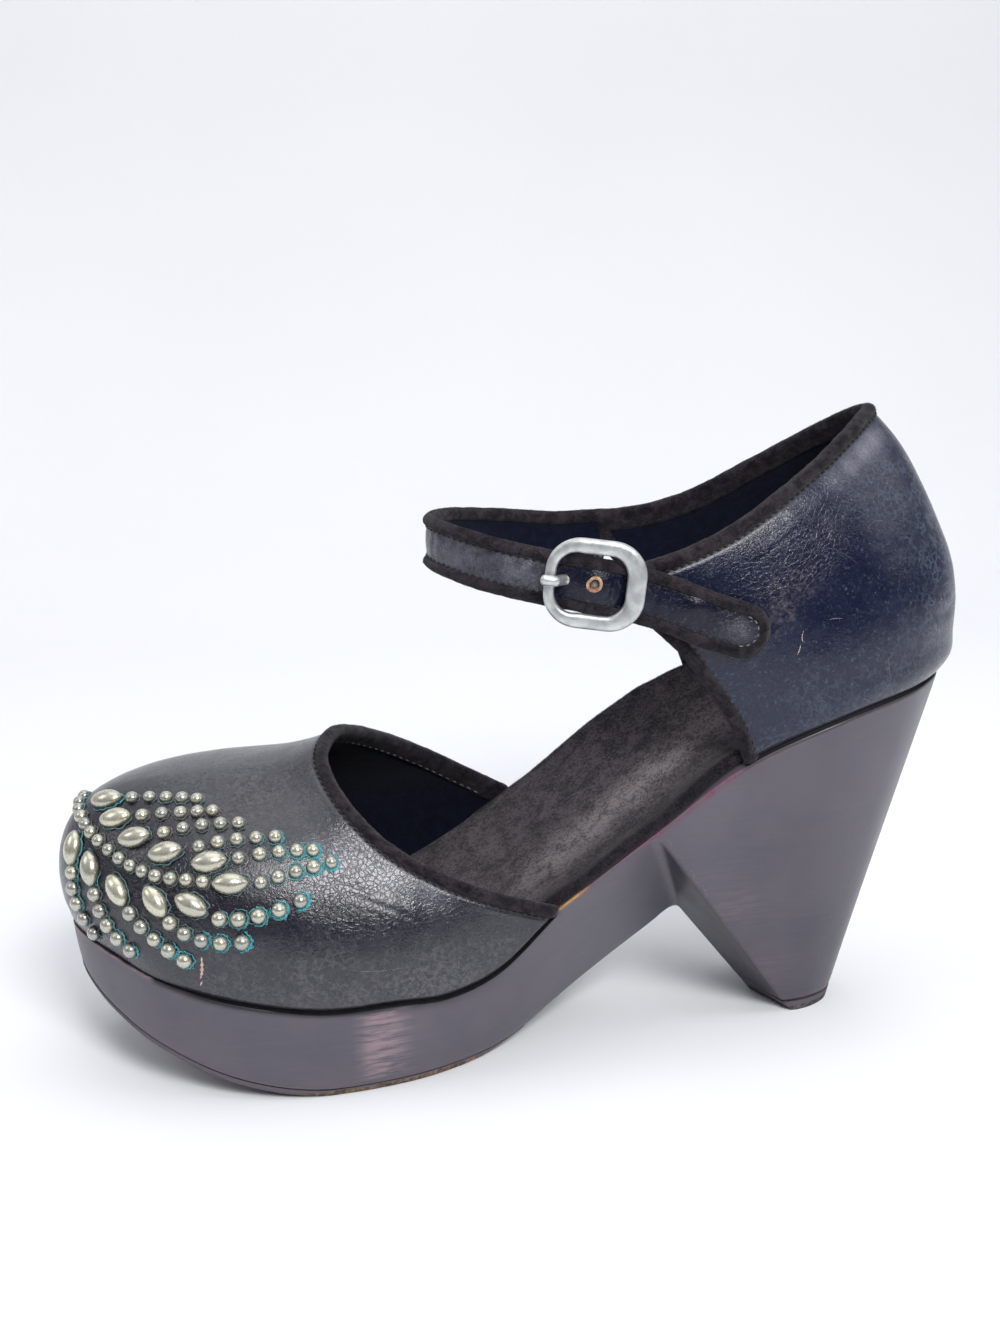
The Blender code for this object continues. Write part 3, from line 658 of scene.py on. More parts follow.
def loop_curve(corners, steps):
    """Closed smooth curve through corner points of a section."""
    p = np.array(corners, float)
    before, after, later = np.roll(p, 1, 0), np.roll(p, -1, 0), np.roll(p, -2, 0)
    out = []
    for f in np.arange(steps) / steps:
        out.append(p + 0.5 * f * (after - before + f * (2 * before - 5 * p + 4 * after - later
                                                        + f * (3 * (p - after) + later - before))))
    return np.stack(out, axis=1).reshape(-1, 2)


def binding_section(width, inside, wall, proud):
    """Section of a strip folded over an edge: distance under the edge, height over the outer face."""
    return loop_curve((
        (width, -0.45), (width - 0.25, 0.45 * proud), (0.72 * width, 0.92 * proud), (0.4 * width, proud),
        (0.13 * width, 0.62 * proud), (-0.3, -0.12 * wall), (-0.55, -0.5 * wall), (-0.3, -0.9 * wall),
        (0.15 * inside, -wall - 0.5 * proud), (0.55 * inside, -wall - 0.6 * proud),
        (inside - 0.4, -wall - 0.42 * proud), (inside, -wall + 0.3), (0.5 * width, -0.55 * wall)), 3)


def lumps(points, size, seed):
    """Smooth random heights from -1 to 1 at points, with lumps of this size."""
    flat = np.asarray(points, float).reshape(-1, 3) / size + seed
    values = np.array([noise.noise(Vector(p)) for p in flat])
    return values.reshape(np.shape(points)[:-1])


def swells(points, *waves):
    """Sum of random heights, each given by its height, the size of its lumps and a seed."""
    return sum(height * lumps(points, size, seed) for height, size, seed in waves)


def fold_strip(name, place, face, section, seed, hairs, rounded=0.0, reach=0.0):
    """Binding swept along an edge: place(d) gives points at distance d under the edge, face(d) normals.

    Its ends are rounded over one length, or reach past the edge's ends by another.
    """
    rings = np.stack([place(d) + face(max(d, 0.0)) * n for d, n in section], axis=1)
    middle = rings.mean(axis=1, keepdims=True)
    swell = 1 + BINDING_LUMP * swells(rings, (0.6, 2.6, seed), (0.4, 0.9, seed + 9))
    if rounded > 0:
        run = path_run(middle[:, 0])
        left = np.minimum(np.minimum(run, run[-1] - run) / rounded, 1.0)
        swell = swell * np.sqrt(1 - 0.9 * (1 - left) ** 2)[:, None]
    rings = middle + (rings - middle) * swell[..., None]
    if reach > 0:
        rings[0] += unit(middle[0] - middle[1]) * reach
        rings[-1] += unit(middle[-1] - middle[-2]) * reach
    builder = Builder()
    builder.tube(rings)
    roots = scattered(rings, hairs, seed)
    fuzz(builder, roots, scattered(rings - middle, hairs, seed), 0.3, 0.4, seed + 50)
    builder.finish(name, [BINDING_SUEDE], "suede")


def stitch_row(builder, path, out, stitch, lift=0.0):
    """Short arched threads along a path, each sunk at both ends."""
    pitch, length, thick = stitch
    run = path_run(path)
    arc = np.linspace(-1, 1, 7)
    girth = thick * np.sqrt(np.maximum(0.08, 1 - (0.92 * arc) ** 2))
    for middle in np.arange(pitch / 2, run[-1] - length / 2, pitch):
        spots = middle + arc * length / 2
        centre = read_path(spots, run, path)
        up = unit(read_path(spots, run, out))
        side = unit(np.cross(unit(np.gradient(centre, axis=0)), up))
        centre = centre + up * (lift + thick * (0.55 - 1.1 * arc ** 2))[:, None]
        builder.tube(centre[:, None] + girth[:, None, None] * ring(side, up, 6))


def fuzz(builder, roots, up, lean, length, seed, **values):
    """Loose suede fibres, one thin closed spike on each root."""
    random = np.random.default_rng(seed)
    count = len(roots)
    up = unit(unit(up) + lean * random.normal(size=(count, 3)))
    side = unit(np.cross(up, random.normal(size=(count, 3))))
    reach = length * (0.35 + 0.65 * random.random(count))[:, None]
    foot = roots[:, None] + FIBRE * ring(side, np.cross(up, side), 3)
    points = np.concatenate((foot, (roots + up * reach)[:, None]), axis=1)
    spike = ((0, 2, 1), (0, 1, 3), (1, 2, 3), (2, 0, 3))
    builder.add(points, [tuple(4 * i + k for k in face) for i in range(count) for face in spike], **values)


def scattered(grid, count, seed):
    """Points strewn at random over a grid."""
    random = np.random.default_rng(seed)
    i = random.random(count) * (grid.shape[0] - 1.001)
    j = random.random(count) * (grid.shape[1] - 1.001)
    return bilinear(grid, i, j)


def trough(points, line, width, depth):
    """Soft trough with raised shoulders along a line, fading at both ends."""
    flat = points.reshape(-1, 3)
    gaps = np.linalg.norm(flat[:, None] - line[None], axis=2)
    near = gaps.argmin(axis=1)
    x = gaps[np.arange(len(flat)), near] / width
    fade = np.sin(math.pi * np.clip((near + 0.5) / len(line), 0, 1)) ** 0.6
    height = -np.exp(-x * x * 2.2) + 0.5 * np.exp(-((x - 1.5) ** 2) * 2.6)
    return (depth * fade * height).reshape(points.shape[:-1])


def spot(points, centre, radius):
    """Soft round mask about a point."""
    return np.exp(-(np.linalg.norm(points - centre, axis=-1) / radius) ** 2)


# Looks

def feed(tree, socket, value):
    """Sets a socket to a value or links another node's output to it."""
    if isinstance(value, (int, float, tuple)):
        socket.default_value = value
    else:
        tree.links.new(value, socket)


def add_node(tree, kind, feeds, out=0, **props):
    """Shader node with its sockets fed; returns one of its outputs."""
    made = tree.nodes.new("ShaderNode" + kind)
    for key, value in props.items():
        setattr(made, key, value)
    for key, value in feeds.items():
        feed(tree, made.inputs[key], value)
    return made.outputs[out]


class Look:
    """A material built from procedural nodes, in millimetres of the row frame."""

    def __init__(self, name, **sockets):
        self.material = bpy.data.materials.new(name)
        self.material.use_nodes = True
        self.tree = self.material.node_tree
        self.shader = self.tree.nodes["Principled BSDF"].inputs
        for key, value in sockets.items():
            self.shader[key.replace("_", " ")].default_value = value
        place = self.add("TexCoord", {}, "Object")
        self.mm = self.add("VectorMath", {0: place, "Scale": 1 / MM}, operation="SCALE")

    def add(self, kind, feeds, out=0, **props):
        return add_node(self.tree, kind, feeds, out, **props)

    def stretch(self, x, y, z):
        """Coordinates scaled per axis, for streaks."""
        return self.add("VectorMath", {0: self.mm, 1: (x, y, z)}, operation="MULTIPLY")

    def drift(self, scale, reach):
        """Coordinates pushed about by noise, for uneven cells."""
        push = self.add("TexNoise", {"Vector": self.mm, "Scale": scale}, "Color")
        feeds = {0: push, 1: (reach, reach, reach), 2: self.mm}
        return self.add("VectorMath", feeds, operation="MULTIPLY_ADD")

    def noise(self, scale, detail, rough, warp=0.0, where=None):
        feeds = {"Vector": where or self.mm, "Scale": scale, "Detail": detail, "Roughness": rough}
        return self.add("TexNoise", feeds | {"Distortion": warp}, "Fac")

    def cells(self, scale, feature="F1", where=None):
        feeds = {"Vector": where or self.mm, "Scale": scale}
        return self.add("TexVoronoi", feeds, "Distance", feature=feature)

    def height(self):
        """Height over the floor in millimetres."""
        return self.add("SeparateXYZ", {0: self.mm}, "Z")

    def attribute(self, name):
        return self.add("Attribute", {}, "Fac", attribute_name=name)

    def math(self, operation, a, b, clamp=False):
        return self.add("Math", {0: a, 1: b}, operation=operation, use_clamp=clamp)

    def times(self, a, b, clamp=False):
        return self.math("MULTIPLY", a, b, clamp)

    def plus(self, a, b):
        return self.math("ADD", a, b)

    def worn(self, name, mask):
        """Attribute of the mesh broken up by a mask."""
        return self.times(self.attribute(name), mask, clamp=True)

    def span(self, value, low, high, to_low=0.0, to_high=1.0):
        """Smooth ramp of a value from one range to another."""
        feeds = {"Value": value, "From Min": low, "From Max": high, "To Min": to_low, "To Max": to_high}
        return self.add("MapRange", feeds, "Result", interpolation_type="SMOOTHSTEP")

    def mix(self, share, a, b):
        return self.add("Mix", {"Factor": share, 6: a, 7: b}, 2, data_type="RGBA")

    def coats(self, base, *layers):
        """Colours laid over a base, each as its share and its colour."""
        for share, colour in layers:
            base = self.mix(share, base, colour)
        return base

    def colour(self, value):
        feed(self.tree, self.shader["Base Color"], value)

    def rough(self, value):
        feed(self.tree, self.shader["Roughness"], value)

    def bump(self, height, depth, strength, under=None):
        """Relief of the shader's normal, laid over another one."""
        feeds = {"Strength": strength, "Distance": depth * MM, "Height": height}
        if under is not None:
            feeds["Normal"] = under
        normal = self.add("Bump", feeds, "Normal")
        feed(self.tree, self.shader["Normal"], normal)
        return normal


def rgb(red, green, blue):
    """Linear colour from the eight-bit values of a screen."""
    def lin(v):
        v = v / 255
        return v / 12.92 if v <= 0.04045 else ((v + 0.055) / 1.055) ** 2.4
    return (lin(red), lin(green), lin(blue), 1.0)


def leather(name, deep, worn, haze, tint, shine, grit):
    """Dyed leather: pebbled grain, rubbed spots, pale haze of settled dust (on the strap's front a painted
    sheen), paler veins where it has aged, painted highlights and painted shade in crevices.
    """
    look = Look(name, IOR=1.5, Specular_IOR_Level=shine, Coat_Weight=0.12, Coat_Roughness=0.28, Coat_IOR=1.5)
    mottle = look.noise(0.11, 4, 0.6)
    bloom = look.noise(0.95, 5, 0.75, 0.5)
    cracks = look.span(look.cells(0.85, "DISTANCE_TO_EDGE", look.drift(0.5, 1.1)), 0.0, 0.14)
    grain = look.noise(1.5, 3, 0.6, 0.4)
    pores = look.noise(3.4, 3, 0.65)
    net = look.span(look.cells(0.5, "DISTANCE_TO_EDGE", look.drift(0.4, 2.4)), 0.2, 0.02)
    aged = look.times(look.attribute("veined"), look.span(look.noise(0.3, 3, 0.6), 0.36, 0.6))
    dust = look.worn("haze", look.span(bloom, 0.42, 0.62))
    speck = look.times(look.span(bloom, 0.52, 0.7), look.span(grain, 0.4, 0.6))
    dyed = look.attribute("dyed")
    look.colour(look.coats(
        look.mix(look.span(mottle, 0.3, 0.75), deep, worn),
        (look.times(net, aged, clamp=True), haze),
        (dust, haze),
        (look.times(speck, grit), haze),
        # painted highlight
        (look.worn("gleam", look.span(grain, 0.3, 0.7, 0.55, 1.0)), rgb(140, 139, 152)),
        (look.worn("rub", look.span(bloom, 0.42, 0.6)), tint),
        # painted shade in crevices: at the foot and under the binding
        (dyed, rgb(4, 4, 7))))
    gloss = look.plus(look.span(mottle, 0.25, 0.8, 0.2, 0.28), look.times(pores, 0.06))
    look.rough(look.plus(gloss, look.plus(look.times(dust, 0.25), look.times(dyed, 0.5))))
    height = look.plus(grain, look.times(pores, 0.4))
    flexed = look.bump(look.times(cracks, look.attribute("flex")), 0.07, 0.9)
    look.bump(height, 0.1, 0.85, look.bump(look.noise(0.33, 3, 0.6), 0.2, 0.5, flexed))
    return look.material


def suede(name, dark, light, nap=0.35):
    """Napped leather: matt, mottled, with a soft sheen."""
    look = Look(name, IOR=1.45, Specular_IOR_Level=0.15, Sheen_Weight=0.1, Sheen_Roughness=0.5)
    patch = look.noise(0.35, 4, 0.65, 0.6)
    fibre = look.noise(2.6, 3, 0.7, 0.8)
    blend = look.plus(look.times(patch, 0.6), look.times(fibre, 0.4))
    look.colour(look.mix(look.span(blend, 0.36, 0.68), dark, light))
    look.rough(look.span(patch, 0.3, 0.7, 0.95, 0.8))
    look.bump(look.plus(fibre, look.times(look.noise(6.0, 2, 0.6), 0.6)), nap, 0.7)
    return look.material


def footbed():
    """Worn suede footbed: dark nap, a polished band where the foot bears painted paler as a sheen, painted
    shade under the vamp, darker along the outer rim of the open waist.
    """
    look = Look("footbed_suede", IOR=1.45, Specular_IOR_Level=0.22, Sheen_Weight=0.12, Sheen_Roughness=0.5)
    patch = look.noise(0.2, 5, 0.7, 0.4)
    fibre = look.noise(1.3, 5, 0.85, 0.5)
    blend = look.plus(look.times(patch, 0.35), look.times(fibre, 0.65))
    polish = look.worn("polish", look.span(blend, 0.42, 0.56, 0.15, 1.0))
    look.colour(look.coats(
        look.mix(look.span(blend, 0.45, 0.56), rgb(9, 8, 15), rgb(68, 60, 66)),
        (polish, rgb(122, 113, 115)),
        (look.attribute("dark"), rgb(18, 15, 20))))
    look.rough(look.math("SUBTRACT", 0.95, look.times(polish, 0.35)))
    nap = look.plus(fibre, look.times(look.noise(5.2, 2, 0.6), 0.5))
    look.bump(nap, 0.35, 0.7, look.bump(patch, 0.5, 0.4))
    return look.material


def painted_wood():
    """Satin plum-grey paint on wood: fine brush lines, pinkish rubs and a painted highlight along the toe's
    top edge, bare wood at one knock, a heel darker toward the floor, painted shade on the notch facet and
    under the uppers.
    """
    look = Look("painted_wood", IOR=1.5, Specular_IOR_Level=0.5, Coat_Weight=0.1, Coat_Roughness=0.25)
    cloud = look.noise(0.05, 4, 0.6, 0.5)
    speck = look.noise(1.3, 4, 0.7)
    brush = look.noise(0.7, 4, 0.7, 0.4, look.stretch(0.12, 0.3, 1.6))
    edge = look.times(look.span(look.attribute("edge"), 1.3, 0.2), look.span(speck, 0.45, 0.62))
    rosy = look.worn("rosy", look.span(brush, 0.36, 0.6))
    look.colour(look.coats(
        look.mix(look.span(cloud, 0.3, 0.72), rgb(79, 76, 86), rgb(90, 84, 94)),
        (look.times(look.span(brush, 0.45, 0.75), 0.2), rgb(104, 96, 105)),
        (look.times(edge, 0.5), rgb(112, 98, 106)),
        # pinkish rubs, and a painted highlight along the toe's top edge
        (rosy, rgb(146, 124, 132)),
        (look.worn("worn", look.span(speck, 0.4, 0.56)), rgb(104, 46, 72)),
        (look.worn("bare", look.span(speck, 0.3, 0.5)), rgb(176, 134, 78)),
        # heel painted darker, more toward the floor
        (look.attribute("grime"), rgb(34, 30, 42)),
        (look.attribute("shade"), rgb(18, 13, 36)),
        (look.attribute("seam"), rgb(12, 10, 16))))
    look.rough(look.plus(look.span(cloud, 0.25, 0.8, 0.36, 0.46), look.times(rosy, 0.1)))
    strokes = look.plus(brush, look.times(speck, 0.4))
    look.bump(strokes, 0.05, 0.35, look.bump(look.noise(0.09, 3, 0.5), 0.5, 0.35))
    return look.material


def pearl():
    """Pewter-toned pearl with patches of patina, and painted shade round the foot of each bead."""
    look = Look("pearl", IOR=1.6, Specular_IOR_Level=0.6, Coat_Weight=0.7, Coat_Roughness=0.06, Metallic=0.65)
    dirt = look.noise(0.9, 4, 0.7, 0.5)
    # painted shade round the foot of each bead, where it meets the leather
    low = look.span(look.attribute("height"), 0.62, 0.15)
    look.colour(look.coats(
        look.mix(look.attribute("tone"), rgb(168, 168, 160), rgb(208, 204, 182)),
        (look.times(look.span(dirt, 0.5, 0.76), 0.14), rgb(146, 141, 116)),
        (look.times(low, 0.85), rgb(58, 55, 50))))
    look.rough(look.span(dirt, 0.35, 0.7, 0.22, 0.36))
    look.bump(look.noise(1.6, 3, 0.6), 0.025, 0.5)
    return look.material


def bead_thread():
    """Sewing thread round the beads, from clear grey to teal."""
    look = Look("bead_thread", IOR=1.5, Specular_IOR_Level=0.4, Sheen_Weight=0.3)
    twist = look.noise(5.0, 2, 0.6)
    strand = look.span(twist, 0.35, 0.65)
    teal = look.mix(strand, rgb(8, 120, 136), rgb(84, 204, 212))
    grey = look.mix(strand, rgb(58, 58, 58), rgb(112, 112, 106))
    look.colour(look.mix(look.attribute("teal"), grey, teal))
    look.rough(look.span(twist, 0.3, 0.7, 0.45, 0.7))
    look.bump(twist, 0.08, 0.8)
    return look.material


def metal(name, dark, light, rough):
    """Cast pewter: brushed, a little pitted."""
    look = Look(name, Metallic=0.75, IOR=1.6, Coat_Weight=0.15, Coat_Roughness=0.25)
    pits = look.noise(1.2, 5, 0.7)
    haze = look.noise(0.3, 3, 0.6)
    look.colour(look.mix(look.span(haze, 0.3, 0.7), dark, light))
    look.rough(look.plus(look.times(pits, 0.14), rough))
    look.bump(pits, 0.08, 0.35, look.bump(haze, 0.3, 0.3))
    return look.material


def thread(name, dark, light):
    """Twisted sewing thread, used for scratches too."""
    look = Look(name, IOR=1.5, Specular_IOR_Level=0.35, Sheen_Weight=0.25)
    twist = look.noise(4.0, 2, 0.6)
    look.colour(look.mix(look.span(twist, 0.3, 0.7), dark, light))
    look.rough(look.span(twist, 0.3, 0.7, 0.55, 0.75))
    look.bump(twist, 0.06, 0.7)
    return look.material


def rubber(name, dark, light, paint, top):
    """Worn rubber with ground-in dust, painted over above a height."""
    look = Look(name, IOR=1.5, Specular_IOR_Level=0.3)
    dust = look.noise(0.6, 5, 0.7, 0.4)
    fine = look.noise(3.0, 3, 0.6)
    base = look.mix(look.span(dust, 0.42, 0.72), dark, light)
    wavy = look.plus(look.height(), look.span(look.noise(0.25, 2, 0.5), 0.3, 0.7, -0.25, 0.25))
    look.colour(look.mix(look.span(wavy, top - 0.1, top + 0.1), base, paint))
    look.rough(look.span(fine, 0.3, 0.7, 0.6, 0.85))
    look.bump(look.plus(fine, look.cells(0.8)), 0.1, 0.4)
    return look.material


VAMP_LEATHER = leather("vamp_leather", deep=rgb(12, 11, 28), worn=rgb(22, 20, 35), haze=rgb(92, 91, 95),
                       tint=rgb(132, 104, 92), shine=0.75, grit=0.5)
QUARTER_LEATHER = leather("quarter_leather", deep=rgb(6, 11, 40), worn=rgb(13, 20, 48), haze=rgb(78, 88, 104),
                          tint=rgb(92, 84, 86), shine=0.45, grit=0.9)
STRAP_LEATHER = leather("strap_leather", deep=rgb(5, 9, 30), worn=rgb(12, 16, 38), haze=rgb(108, 104, 108),
                        tint=rgb(84, 78, 80), shine=0.3, grit=0.4)
BINDING_SUEDE = suede("binding_suede", rgb(8, 7, 16), rgb(57, 50, 56))
LINING = suede("lining_leather", rgb(2, 6, 24), rgb(9, 15, 38), 0.15)
FOOTBED = footbed()
PAINT = painted_wood()
PEARL = pearl()
BEAD_THREAD = bead_thread()
PEWTER = metal("pewter", rgb(176, 179, 180), rgb(212, 214, 213), 0.33)
DARK_THREAD = thread("dark_thread", rgb(8, 8, 12), rgb(30, 28, 32))
PALE_THREAD = thread("pale_thread", rgb(70, 70, 76), rgb(124, 123, 126))
GREY_MARK = thread("grey_mark", rgb(92, 92, 94), rgb(150, 148, 144))
TAN_MARK = thread("tan_mark", rgb(170, 140, 126), rgb(222, 198, 184))
SHADE_STRIP = suede("shade_strip", rgb(2, 2, 4), rgb(7, 7, 10), 0.1)
RAW_EDGE = suede("raw_leather_edge", rgb(128, 84, 62), rgb(214, 176, 146), 0.2)
PLUM = rgb(92, 85, 94)
TREAD_RUBBER = rubber("tread_rubber", rgb(70, 58, 54), rgb(142, 120, 100), PLUM, 1.2)
TIP_RUBBER = rubber("tip_rubber", rgb(58, 54, 54), rgb(110, 104, 100), PLUM, 1.4)


# Sole

def spread(count):
    """Shares from 0 to 1, closer together near both ends."""
    return (1 - np.cos(np.linspace(0, math.pi, count))) / 2


def lines(a, b, shares):
    """Straight lines from points to points, read at shares of their length."""
    a, b = np.asarray(a, float), np.asarray(b, float)
    return a[..., None, :] + (b - a)[..., None, :] * shares[:, None]


def soften(points, faces, weight, passes=14):
    """Round the mesh where weight is high by moving points to the mean of their neighbours."""
    edges = np.array(sorted({tuple(sorted((f[k - 1], f[k]))) for f in faces for k in range(len(f))}))
    degree = np.bincount(edges.ravel(), minlength=len(points))[:, None]
    for _ in range(passes):
        total = np.zeros_like(points)
        np.add.at(total, edges[:, 0], points[edges[:, 1]])
        np.add.at(total, edges[:, 1], points[edges[:, 0]])
        points = points + weight[:, None] * 0.5 * (total / degree - points)
    return points


class Skin:
    """Faces gathered from grids of points, welded where points coincide."""

    def __init__(self):
        self.points = []
        self.faces = []
        self.index = {}

    def place(self, point):
        key = tuple(int(round(c / WELD)) for c in point)
        if key not in self.index:
            self.index[key] = len(self.points)
            self.points.append(np.array(point, float))
        return self.index[key]

    def grid(self, rows):
        ids = [[self.place(p) for p in row] for row in rows]
        self.last = {i for row in ids for i in row}
        for near, far in zip(ids, ids[1:]):
            for i in range(len(near) - 1):
                face = tuple(dict.fromkeys((near[i], near[i + 1], far[i + 1], far[i])))
                if len(face) > 2:
                    self.faces.append(face)


# Wear of the paint, with painted light and shade: bands along x by where each rises and falls, reaches by the
# distances from an edge between which a mark grows, and rubs by place, radius and strength. A pale line along
# the toe's top edge is a painted highlight; the notch facet and the crevice under the uppers get painted
# shade.
OPEN_WAIST = ((8.0, 11.0), (59.0, 54.0))
KNOCK = ((8.0, 9.5), (17.0, 13.0))
RUBBED_FRONT = ((-42.0, -37.0), (-26.0, -34.0))
HEEL_DARKENING = (45.0, 62.0)
SEAT_DARKENING = 80.0          # heights between which the heel's darkening grows
FOOT_DARKENING = 5.0
WORN_REACH = (2.0, 0.8)
KNOCK_REACH = (1.6, 0.6)
# a painted highlight along the toe's top edge grows between these distances
TOE_REACH = (0.8, 0.3)
# painted shade in the crevice under the uppers grows between these distances
SEAM_SHADE = (1.5, 0.5)
NOTCH_SHADE = (0.2, 1.2)
ROSY_RUBS = (
    ((67.0, -17.5, 14.0), 7.0, 0.12),
    ((57.0, -22.0, 34.0), 6.0, 0.2),
    ((-40.0, 36.0, 14.0), 16.0, 0.3))


def upper_seam(rows, side):
    """Line on the sole's side wall just under the vamp's foot."""
    top = edge_point(rows, side)
    low = platform_edge(rows, side)
    drop = np.maximum(VAMP.at("drop", rows), 0.0) + 0.45 * np.maximum(VAMP.at("lap", rows), 0.0)
    return top + (low - top) * (drop / (top[:, 2] - low[:, 2]))[:, None]


def sole_skin():
    """Painted block before its edges are softened, with the points of its notch and its sharp edges."""
    skin = Skin()
    notch, sharp = set(), []
    base = HEEL_TIP + 0.05
    waist = np.linspace(0, WAIST_END, WAIST_END * TOP_STEPS + 1)
    heel = np.linspace(WAIST_END, HEEL_END, (HEEL_END - WAIST_END) * TOP_STEPS + 1)
    tall, flat = spread(23), spread(21)
    skin.grid([top_point(r, spread(41) * 2 - 1, 0.0, 0.0) for r in np.concatenate((waist, heel[1:]))])
    skin.grid(lines(platform_edge(waist, -1), platform_edge(waist, 1), flat))
    rims = []
    for side in SIDES:
        top_edge, low_edge = edge_point(waist, side), platform_edge(waist, side)
        heel_top = edge_point(heel, side)
        heel_low = np.array([heel_foot(r, side, base) for r in heel])
        crease = lines(top_edge[-1], low_edge[-1], tall)
        sill = lines(heel_low[0], keel_foot(base), tall)
        skin.grid(lines(top_edge, low_edge, tall))
        skin.grid(lines(heel_top, heel_low, tall))
        skin.grid(lines(crease, sill, tall))
        notch |= skin.last
        sharp += [top_edge, low_edge, heel_top, heel_low, crease, sill, lines(heel_top[0], heel_low[0], tall)]
        rims.append(np.concatenate((lines(keel_foot(base), heel_low[0], tall), heel_low[1:])))
    skin.grid(lines(rims[0], rims[1], flat))
    return skin, notch, sharp


def sole_piece(quarter_foot):
    """Painted block, its edges softened, with painted shade where the uppers meet it."""
    skin, notch, sharp = sole_skin()
    points = np.array(skin.points)
    edge = gap_to(points, sharp)
    points = soften(points, skin.faces, np.clip(SOFT_START - edge / SOFT_EDGE, 0, 1))
    points[:, 2] = np.maximum(points[:, 2], TREAD)
    x, y, z = points.T

    rows = np.linspace(0, HEEL_END, HEEL_END * TOP_STEPS + 1)
    top_gap = gap_to(points, [edge_point(rows, side) for side in SIDES])
    broken = 0.8 + swells(points, (0.9, 3.5, 7.0), (0.5, 11.0, 2.0))
    worn = band(x, *OPEN_WAIST) * smooth_step(*WORN_REACH, top_gap) * np.clip(broken, 0, 1)
    bare = band(x, *KNOCK) * (y < 0) * smooth_step(*KNOCK_REACH, top_gap)

    rosy = 0.9 * band(x, *RUBBED_FRONT) * smooth_step(2.0, 5.0, z) * (y < -20)
    for place, radius, strength in ROSY_RUBS:
        rosy = rosy + strength * spot(points, np.array(place), radius)
    toe_rows = np.linspace(0, MARGIN_START + 0.5, 150)
    toe_gap = gap_to(points, [edge_point(toe_rows, side) for side in SIDES])
    # pale line along the toe's top edge: a painted highlight
    rosy = np.clip(rosy + 0.85 * smooth_step(*TOE_REACH, toe_gap), 0, 1)

    rows = np.linspace(MARGIN_START, VAMP_END, 300)
    foot_gap = gap_to(points, [upper_seam(rows, -1), upper_seam(rows, 1), quarter_foot], 0.5)
    facet = np.zeros(len(points))
    facet[list(notch)] = 1.0
    shade = 0.95 * facet * smooth_step(*NOTCH_SHADE, edge)
    # painted shade in the crevice under the vamp's lap and the quarter's foot
    seam = 0.9 * smooth_step(*SEAM_SHADE, foot_gap)
    # the heel darker, more toward the floor
    grime = smooth_step(*HEEL_DARKENING, x) * (0.1 + 0.22 * smooth_step(SEAT_DARKENING, FOOT_DARKENING, z))
    grime = np.clip(grime + 0.1 * lumps(points, 14.0, 5.0), 0, 1)
    builder = Builder()
    builder.add(points, skin.faces, edge=edge, worn=worn, bare=bare, rosy=rosy, seam=seam, shade=shade,
                grime=grime)
    piece = builder.finish("sole_block_painted", [PAINT], "painted_wood")
    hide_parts("sole_block")


def outsole_piece():
    """Thin tread under the platform, worn to nothing at its rear end, with shallow cross grooves."""
    across = spread(41) * 2 - 1
    top, under = [], []
    for row in np.linspace(TREAD_START, TREAD_END, 330):
        outer, inner = platform_edge(row, -1), platform_edge(row, 1)
        half = np.linalg.norm(inner - outer) / 2
        face = (outer + inner) / 2 + (inner - outer) / 2 * across[:, None] * (half - TREAD_INSET) / half
        gap = (1 - np.abs(across)) * half
        start = min(1.0, (row - TREAD_START) / 0.1)
        worn = smooth_step(TREAD_END, TREAD_END - TREAD_FADE, row) * (0.3 + 0.7 * start)
        rounding = TREAD_DROP * (1 - dome_share(gap, TREAD_ROUND))
        wave = np.sin(2 * math.pi * face[:, 0] / GROOVE_PITCH)
        groove = GROOVE_DEPTH * smooth_step(*GROOVE_WALL, wave) * smooth_step(*GROOVE_INSET, gap)
        low = face.copy()
        face[:, 2] -= TREAD_GAP
        low[:, 2] -= TREAD_LEAST + worn * (TREAD - TREAD_LEAST - rounding - groove)
        top.append(face)
        under.append(low)
    builder = Builder()
    closed_wall(builder, np.array(top), np.array(under), (0, 0))
    piece = builder.finish("outsole_tread", [TREAD_RUBBER], "tread")
    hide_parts("outsole")


# Footbed

def insole_inset(row):
    """Distance of the insole from the block's edge, small where no wall stands."""
    walled = SEAM_INSET + WALL + 2 * GAP
    shares = [(row - start) / (end - start) for start, end in (OPENING, CLOSING)]
    return walled + (GAP - walled) * smooth_step(0, 1, min(shares))


